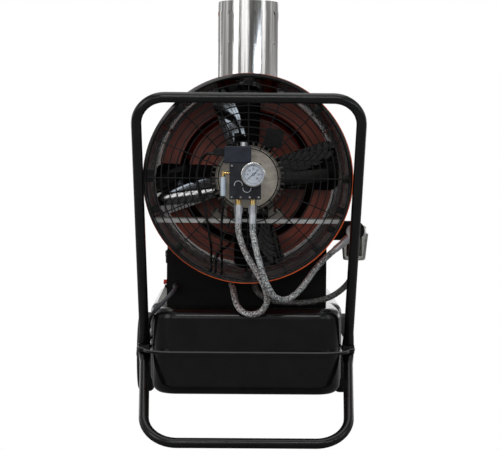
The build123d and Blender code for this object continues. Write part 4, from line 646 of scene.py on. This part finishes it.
line_route = [
    (-58.0, -22.0, 584.0), (-58.0, -22.0, 556.0), (-59.0, 14.0, 545.0), (-61.0, 36.0, 530.0),
    (-62.0, 52.0, 508.0), (-62.5, 60.0, 482.0), (-62.0, 77.0, 460.0), (-61.5, 104.0, 446.0),
    (-61.5, 131.0, 432.0), (-62.0, 153.0, 412.0), (-61.0, 165.0, 386.0), (-61.0, 169.0, 358.0),
    (-59.0, 181.0, 336.0), (-50.0, 203.0, 323.0), (-30.0, 220.0, 319.0), (-11.0, 235.0, 323.0),
    (-2.0, 247.5, 340.0), (0.5, 251.0, 365.0), (-0.5, 251.0, 440.0), (0.5, 251.0, 500.0),
    (0.0, 251.0, 560.0), (0.0, 251.0, 609.0),
]
wires = {
    "coil_cable": (coil_cable_route, "wiring_cables", 0.43, "medium"),
    "motor_cable": (motor_cable_route, "wiring_cables", 0.20, "medium"),
    "fuel_line": (line_route, "nozzle_line", 0.71, "stiff"),
}
for wire_name, (route, node_name, long, stiffness) in wires.items():
    wire = cord_piece(wire_name, route, WIRE_D, finishes["cable_black"],
                      [node_name], steps=8, sides=4)

# %% [markdown]
# The next pieces are modelled by hand, as a maker would build them: from primitives whose edges
# are rounded in edit mode. A hoop and a bar are the primitives that come back.

# %% Helpers for modelled pieces
FACING_INLET = (math.radians(90), 0, 0)
SMOOTH_BELOW = math.radians(35)


def added(name):
    """The primitive that was just added, under its own name."""
    made = bpy.context.active_object
    made.name = name
    return made


def hoop(name, radius, wire_r, spot, round_steps, wire_steps):
    """A torus that faces the inlet, with its two radii in millimetres."""
    deselect()
    bpy.ops.mesh.primitive_torus_add(major_segments=round_steps, minor_segments=wire_steps,
                                     major_radius=radius * MM, minor_radius=wire_r * MM,
                                     location=spot, rotation=FACING_INLET)
    return added(name)


def bar(name, size, spot, angle):
    """A box of a size in millimetres, turned by an angle seen from the inlet."""
    deselect()
    bpy.ops.mesh.primitive_cube_add(size=1, location=spot, rotation=(0, math.radians(-angle), 0),
                                    scale=[side * MM for side in size])
    return added(name)


def round_edges(offset, segments):
    """Rounds the active piece's edges by an offset in millimetres."""
    bpy.ops.object.mode_set(mode="EDIT")
    bpy.ops.mesh.bevel(offset=offset * MM, segments=segments)
    bpy.ops.object.mode_set(mode="OBJECT")


def joined(parts, name):
    """One mesh out of several, with its place in its mesh."""
    deselect()
    for part in parts:
        part.select_set(True)
    bpy.context.view_layer.objects.active = parts[0]
    if len(parts) > 1:
        bpy.ops.object.join()
    bpy.ops.object.transform_apply(location=True, rotation=True, scale=True)
    return added(name)


def dressed(piece, slot_name, body):
    """Gives a modelled piece its finish and its body."""
    piece.data.materials.clear()
    piece.data.materials.append(finishes[slot_name])
    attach(piece, body)
    print(piece.name, "faces", len(piece.data.polygons))


def stands_for(piece, slot_name, body, *nodes):
    """Smooths a modelled piece, dresses it and hides the solids that it stands for."""
    deselect()
    piece.select_set(True)
    bpy.context.view_layer.objects.active = piece
    bpy.ops.object.shade_smooth_by_angle(angle=SMOOTH_BELOW)
    dressed(piece, slot_name, body)
    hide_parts(*nodes)


# %% [markdown]
# The fan guard is a spot-welded net: eleven hoops of wire, sixteen straight spokes in front of
# them and eight flat tabs behind. A spoke is a thin rod whose ends were cut and lightly rounded.
# The copies differ in radius or in turn, so each is added at its own size.

# %% Wire guard
WIRE_R, RING_DEPTH, SPOKE_DEPTH = 1.5, 4.8, 2.2
FIRST_RING, RING_STEP, RINGS = 70.5, 16.8, 11
SPOKES, SPOKE_EXTRA = 16, 3
TABS, TAB_SIDE, TAB_SHEET, TAB_MIDDLE, TAB_DEPTH = 8, 20.0, 2.0, 232.8, 7
guard_parts = [hoop("hoop", FIRST_RING + RING_STEP * ring, WIRE_R, on_axis(RING_DEPTH), 112, 8)
               for ring in range(RINGS)]
last_ring = FIRST_RING + RING_STEP * (RINGS - 1)
for spoke in range(SPOKES):
    angle = 360 * spoke / SPOKES
    deselect()
    bpy.ops.mesh.primitive_cylinder_add(
        vertices=10, radius=WIRE_R * MM, depth=(last_ring - FIRST_RING + SPOKE_EXTRA) * MM,
        location=on_axis(SPOKE_DEPTH, (last_ring + FIRST_RING) / 2, angle),
        rotation=(0, math.radians(90 - angle), 0))
    guard_parts.append(added("spoke"))
    round_edges(0.4, 1)
for tab in range(TABS):
    angle = 360 * tab / TABS
    guard_parts.append(bar("tab", (TAB_SIDE, TAB_SHEET, TAB_SIDE),
                           on_axis(TAB_DEPTH, TAB_MIDDLE, angle), angle))
    bpy.ops.object.transform_apply(location=False, rotation=False, scale=True)
    round_edges(0.5, 2)
stands_for(joined(guard_parts, "wire_guard"), "wire_black", "frame", "fan_guard")

# %% [markdown]
# The gauge's dial is a white disc with a printed scale. The long and short marks, the scale's arc
# and the figures are thin raised shapes just in front of the disc, so they stay sharp close up and
# need no picture. Text is turned into a mesh before its place is applied.

# %% Gauge scale
GAUGE_X, GAUGE_Z, FACE_DEPTH = 11.0, 633.6, -79.0
SCALE_START, SCALE_SWEEP, SCALE_STEPS, LONG_EVERY = 225.0, 270.0, 30, 5
MARKS_END, FIGURES_R, ARC_R = 21.0, 12.8, 21.2
LONG_MARK, SHORT_MARK, INK = (4.6, 0.95), (2.8, 0.5), 0.14
FIGURE_SIZE, FIGURE_BOLD, FIGURE_RISE = 5.4, 0.14, 0.06
LIFT = 0.12


def on_dial(radius, angle):
    """Point just in front of the dial, with the angle seen from the inlet."""
    turn = math.radians(angle)
    return place(GAUGE_X + radius * math.cos(turn), FACE_DEPTH - LIFT,
                 GAUGE_Z + radius * math.sin(turn))


marks = []
for step in range(SCALE_STEPS + 1):
    angle = SCALE_START - SCALE_SWEEP * step / SCALE_STEPS
    is_long = step % LONG_EVERY == 0
    length, width = LONG_MARK if is_long else SHORT_MARK
    marks.append(bar("mark", (length, INK, width), on_dial(MARKS_END - length / 2, angle), angle))
    if is_long:
        deselect()
        bpy.ops.object.text_add(location=on_dial(FIGURES_R, angle), rotation=FACING_INLET)
        figure = added("figure")
        figure.data.body = str(step)
        figure.data.size = FIGURE_SIZE * MM
        figure.data.offset = FIGURE_BOLD * MM
        figure.data.extrude = FIGURE_RISE * MM
        figure.data.align_x, figure.data.align_y = "CENTER", "CENTER"
        bpy.ops.object.convert(target="MESH")
        marks.append(added("figure"))
marks.append(hoop("arc", ARC_R, 0.3, on_dial(0, 0), 96, 6))
dressed(joined(marks, "dial_scale"), "hand_black", "frame")

# %% [markdown]
# Beside each of the two pressure adjusters on the pump's plate, a pale arc paints the highlight
# that the adjuster's chamfered ring catches. An arc is a thin ring cut through by a plane, one open
# below and one open above.

# %% Painted highlight arcs beside the pump's adjusters
PUMP_X, PUMP_Z, ARC_DEPTH = -7.0, axis_z / MM - 6.0, -48.1
HIGHLIGHT_ARC_R, HIGHLIGHT_ARC_WIRE, CUT_OFF = 9.2, 0.6, 2
# Each arc is a painted highlight: a pale ring where an adjuster's chamfered ring catches the light.
arcs = []
for across, up, side in ((-16.0, -8.0, 1), (4.0, -16.0, -1)):
    centre_x, centre_z = PUMP_X + across, PUMP_Z + up
    arcs.append(hoop("arc", HIGHLIGHT_ARC_R, HIGHLIGHT_ARC_WIRE, place(centre_x, ARC_DEPTH, centre_z), 48, 6))
    bpy.ops.object.transform_apply(location=True, rotation=True, scale=True)
    bpy.ops.object.mode_set(mode="EDIT")
    bpy.ops.mesh.select_all(action="SELECT")
    bpy.ops.mesh.bisect(plane_co=place(centre_x, ARC_DEPTH, centre_z - CUT_OFF * side),
                        plane_no=(0, 0, side), clear_inner=True, use_fill=True)
    bpy.ops.object.mode_set(mode="OBJECT")
dressed(joined(arcs, "painted_highlight_arcs"), "dial_white", "frame")

# %% [markdown]
# Where the burner's pipe leaves the brass elbow it wears a short pale sleeve, a little thicker
# than the pipe, with rounded lips.

# %% Pale sleeve on the elbow
SLEEVE_X, SLEEVE_DEPTH = -58.0, -22.0
SLEEVE_R, SLEEVE_TOP, SLEEVE_LOW = 6.5, 627.0, 582.0
deselect()
bpy.ops.mesh.primitive_cylinder_add(
    vertices=32, radius=SLEEVE_R * MM, depth=(SLEEVE_TOP - SLEEVE_LOW) * MM,
    location=place(SLEEVE_X, SLEEVE_DEPTH, (SLEEVE_TOP + SLEEVE_LOW) / 2))
sleeve = added("elbow_sleeve")
round_edges(1.2, 3)
stands_for(joined([sleeve], "elbow_sleeve"), "line_pale", "frame", "nozzle_line")
